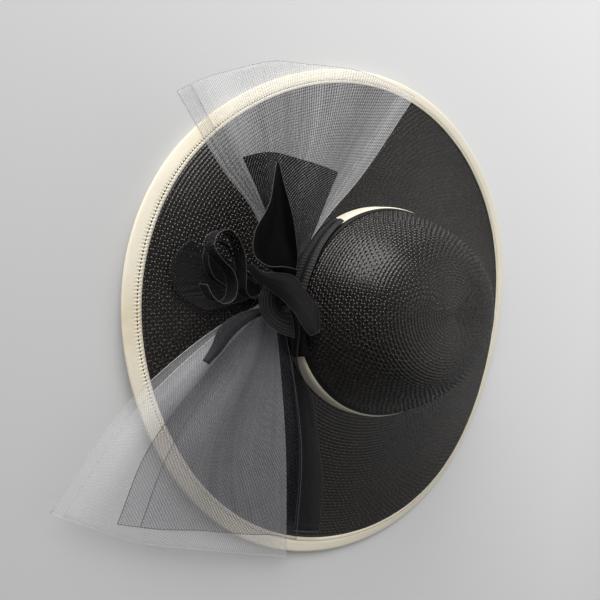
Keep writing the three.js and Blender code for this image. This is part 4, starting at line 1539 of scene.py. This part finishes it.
upper_ribs = fan_grid(UPPER_FAN, rows=48, columns=160)
net_piece("upper_fan", "upper_net_fan", "grey_net", upper_ribs, pleats=26, depth=0.35,
          wires=(0.08, 0.925))

# %% [markdown]
# The lobe at the back is pale and very sheer, and it reaches furthest past the brim.

# %% Pale lobe
LOWER_BACK = {
    "root": [
        (-121, 1, 23), (-119.5, 0, 23), (-118, 0, 23), (-116, 0, 23), (-114, 0, 23), (-112, 1, 23),
    ],
    "low": [
        (-159, -24, 22), (-148, -31, 25), (-137, -36, 22), (-126, -39, 25), (-116, -40, 22),
        (-101, -42, 24),
    ],
    "middle": [
        (-205, -73, 17), (-188, -86, 21), (-168, -91, 17), (-147, -99, 22), (-121, -103, 17),
        (-85, -105, 21),
    ],
    "tip": [
        (-234, -131, 9), (-212, -142, 12), (-183, -158, 9), (-140, -170, 13), (-92, -186, 9),
        (-66, -192, 12),
    ],
}

pale_ribs = fan_grid(LOWER_BACK, rows=48, columns=120)
net_piece("pale_lobe", "lower_net_back", "pale_net", pale_ribs, pleats=12, depth=0.25, wires=(0.055,))

# %% [markdown]
# The darker lobe lies in front of it, so two nets darken the straw together.

# %% Dark lobe
LOWER_FRONT = {
    "root": [
        (-121, 0, 31), (-119, -1, 31), (-117, -1, 31), (-116, -1, 31), (-114, -1, 31), (-112, 0, 31),
    ],
    "low": [
        (-152, -36, 31), (-139, -36, 34), (-128, -39, 31), (-118, -41, 34), (-106, -42, 32),
        (-97, -43, 34),
    ],
    "middle": [
        (-188, -91, 27), (-164, -92, 32), (-140, -94, 28), (-121, -97, 32), (-100, -100, 28),
        (-78, -103, 31),
    ],
    "tip": [
        (-199, -139, 19), (-174, -144, 25), (-145, -153, 19), (-117, -158, 25), (-82, -169, 19),
        (-66, -174, 22),
    ],
}

dark_ribs = fan_grid(LOWER_FRONT, rows=48, columns=120)
net_piece("dark_lobe", "lower_net_front", "dark_net", dark_ribs, pleats=12, depth=0.2, wires=(0.1,))

# %% [markdown]
# Bow
#
# The bow itself is black net. A long strip runs from the knot down to the brim's edge. A table holds
# its left and its right edge, from the knot on.

# %% Long strip
NET_STRIP = {
    "left": [
        (-111, 4, 38), (-103.5, -11, 38), (-97.5, -30, 31.5), (-81, -69, 21), (-71, -100, 18),
        (-64, -132, 14), (-57, -176, 7),
    ],
    "right": [
        (-109, 5, 39.5), (-99.5, -12, 39.5), (-94.5, -36, 35), (-66, -69, 22), (-53, -101, 18),
        (-40, -136, 14), (-31, -181, 7),
    ],
}

strip_grid = ribbon_grid(NET_STRIP, rows=60, columns=16, bulge=1.0)
net_piece("long_strip", "net_strip", "black_net", strip_grid, pleats=4, depth=0.35)

# %% [markdown]
# A broad petal stands behind the curl. Its end waves, like the ends of the fans.

# %% Back petal
PETAL_BACK = {
    "root": [
        (-118, 16, 39), (-117, 17, 39), (-116, 17.5, 39), (-115, 17.5, 39), (-113.5, 17, 39),
        (-112, 16, 39),
    ],
    "low": [
        (-131, 45, 43), (-126, 45, 44), (-121, 46, 44), (-115, 45, 45), (-108, 45, 44), (-103, 46, 45),
    ],
    "middle": [
        (-147, 66, 48), (-142, 67, 51), (-134, 69, 50), (-123, 71, 51), (-111, 71, 50), (-98, 74, 51),
    ],
    "tip": [
        (-164, 83, 54), (-155, 87, 60), (-141, 91, 57), (-130, 90, 61), (-112, 92, 57), (-97, 91, 58),
    ],
}

petal_grid = fan_grid(PETAL_BACK, rows=40, columns=90)
net_piece("back_petal", "bow_petal_back", "black_net", petal_grid, pleats=16, depth=0.4,
          net="petal_net")

# %% [markdown]
# The curl is a fan whose ribs go nearly once round, so it opens like a lily. Inside it hardly any
# light gets through the folded net. Its net is nearly black and dull, partly for its many layers and
# partly as painted shade for the hollow inside it.

# %% Curl
CURL = {
    "root": [
        (-114, 13, 39.5), (-115, 13, 39.5), (-115.5, 13, 39.5), (-116, 13, 39.5), (-116.5, 12.5, 39.5),
        (-117, 12, 39.5), (-117.5, 11.5, 39.5), (-117.5, 10.5, 39.5), (-117, 10, 39.5),
        (-116, 9.5, 39.5),
    ],
    "low": [
        (-113, 22, 46), (-116, 24, 46), (-120, 25, 46), (-123, 25, 46), (-125, 24, 46), (-126, 22, 46),
        (-126, 19, 46.5), (-124, 17, 48), (-120, 16, 49), (-115.5, 15.5, 49),
    ],
    "middle": [
        (-114, 28, 49), (-121, 37, 50), (-129, 46, 52), (-134, 49, 54), (-138, 42, 54), (-140, 33, 53),
        (-139, 26, 52), (-134, 21, 54), (-126, 20, 56), (-118, 20, 55),
    ],
    "tip": [
        (-116, 34, 51.5), (-127, 54, 58), (-141, 73, 64), (-149, 82, 68), (-151, 58, 68),
        (-157, 40, 66), (-155, 28, 65), (-146, 23, 65.5), (-134, 24, 65), (-122, 24, 61),
    ],
}

curl_grid = fan_grid(CURL, rows=40, columns=120)
net_piece("curl", "bow_curl", "black_net", curl_grid, pleats=18, depth=0.1, net="folded_net")

# %% [markdown]
# A ribbon turns out of the curl and towards the crown.

# %% Ribbon of the curl
CURL_TAIL = {
    "left": [
        (-156, 22, 58), (-148, 14.5, 57), (-135, 9, 55.5), (-123, 3, 54), (-113, -4, 53),
        (-105, -12, 52), (-98, -17, 51),
    ],
    "right": [
        (-154, 23.3, 61.9), (-146, 19.3, 62.5), (-134, 20.4, 61.6), (-121, 19.8, 57.8),
        (-104.5, 10, 52), (-94, 2, 51), (-90.5, -12, 51),
    ],
}

curl_ribbon_grid = ribbon_grid(CURL_TAIL, rows=50, columns=24, bulge=2.0)
net_piece("curl_ribbon", "bow_curl_tail", "black_net", curl_ribbon_grid, pleats=5, depth=0.35,
          net="rolled_net")

# %% [markdown]
# In front of the knot lies a short roll of net with several wires, like a shell.

# %% Pleated roll
ROLL = {
    "left": [(-132, 14, 42), (-135, 3, 42), (-130, -9, 42), (-117, -17, 42), (-104, -20, 42)],
    "right": [(-118, 10, 40.5), (-118, 5, 40), (-117, 2, 39), (-114, 1, 38), (-112, 3, 39)],
}
ROLL_WIRES = (0.1, 0.2, 0.32, 0.46, 0.62)

roll_grid = ribbon_grid(ROLL, rows=50, columns=40, bulge=2.5)
net_piece("pleated_roll", "bow_roll", "black_net", roll_grid, pleats=9, depth=0.4, wires=ROLL_WIRES,
          net="rolled_net")

# %% [markdown]
# Left of the knot two loops of ribbon stand on their edges. Their tables hold the path from above,
# and how low and how high the ribbon reaches at each place.

# %% Loops
LOOP_UPPER = {
    "x": [
        -122, -130, -138, -145, -147, -150, -156, -162, -169, -170, -164, -156, -152, -153, -159, -166,
        -171,
    ],
    "y": [10, 5, 3, 7, 18, 30, 39, 42, 38, 31, 24, 18, 9, 1, -2, 1, 8],
    "low": [27, 28, 28.5, 29, 29, 29, 29, 29, 29, 29, 29, 29, 29, 29, 29, 29, 29],
    "high": [33, 37, 40, 43, 44, 44, 44, 44, 44, 44, 44, 44, 44, 43, 43, 43, 42],
}

LOOP_LOWER = {
    "x": [-121, -129, -140, -152, -162, -166, -161, -150],
    "y": [13, 16, 22, 34, 36, 27, 14, 8],
    "low": [22, 21.3, 20.3, 19, 18.5, 18.5, 18.5, 19],
    "high": [26, 26.5, 27, 27.5, 27.5, 27.5, 27.5, 27.5],
}

upper_loop_grid = standing_grid(LOOP_UPPER, rows=120, columns=12)
lower_loop_grid = standing_grid(LOOP_LOWER, rows=70, columns=10)
net_piece("upper_loop", "bow_loop_upper", "black_net", upper_loop_grid)
net_piece("lower_loop", "bow_loop_lower", "black_net", lower_loop_grid)

# %% [markdown]
# A flat petal of sheer net lies on the brim under the loops and darkens the straw there.

# %% Left petal
PETAL_LEFT = {
    "root": [
        (-120, 12, 21.5), (-120.5, 11, 21.5), (-121, 10, 21.5), (-121, 9, 21.5), (-120.5, 8, 21.5),
        (-120, 7, 21.5),
    ],
    "low": [
        (-140, 23, 18), (-142, 18, 17.5), (-142, 13, 17), (-141, 8, 17), (-139, 3, 17.5),
        (-137, -1, 17.5),
    ],
    "middle": [
        (-158, 30, 16), (-163, 22, 15), (-163, 13, 14.5), (-159, 5, 14.5), (-154, -1, 15.5),
        (-148, -5, 16),
    ],
    "tip": [
        (-175, 35, 16), (-182, 24, 13.5), (-183, 12, 12), (-177, 1, 12), (-168, -4, 13.5),
        (-158, -8, 15.5),
    ],
}

left_petal_grid = fan_grid(PETAL_LEFT, rows=40, columns=90)
net_piece("left_petal", "bow_petal_left", "black_net", left_petal_grid, pleats=14, depth=0.3,
          net="sheer_net")

# %% [markdown]
# A narrow tail hangs down over the lower lobes.

# %% Left tail
TAIL_LEFT = {
    "left": [
        (-121, 4, 35), (-129, -2, 36), (-138, -5, 36), (-149, -10, 36), (-157, -18, 35),
        (-160, -28, 35), (-165, -38, 35),
    ],
    "right": [
        (-119, 1, 35.5), (-126, -6, 36.5), (-134, -10, 37.5), (-142, -16, 37.5), (-149, -24, 37),
        (-154, -32, 36.5), (-161, -40, 36),
    ],
}

left_tail_grid = ribbon_grid(TAIL_LEFT, rows=50, columns=24, bulge=1.5)
net_piece("left_tail", "bow_tail_left", "black_net", left_tail_grid, pleats=5, depth=0.3,
          net="rolled_net")
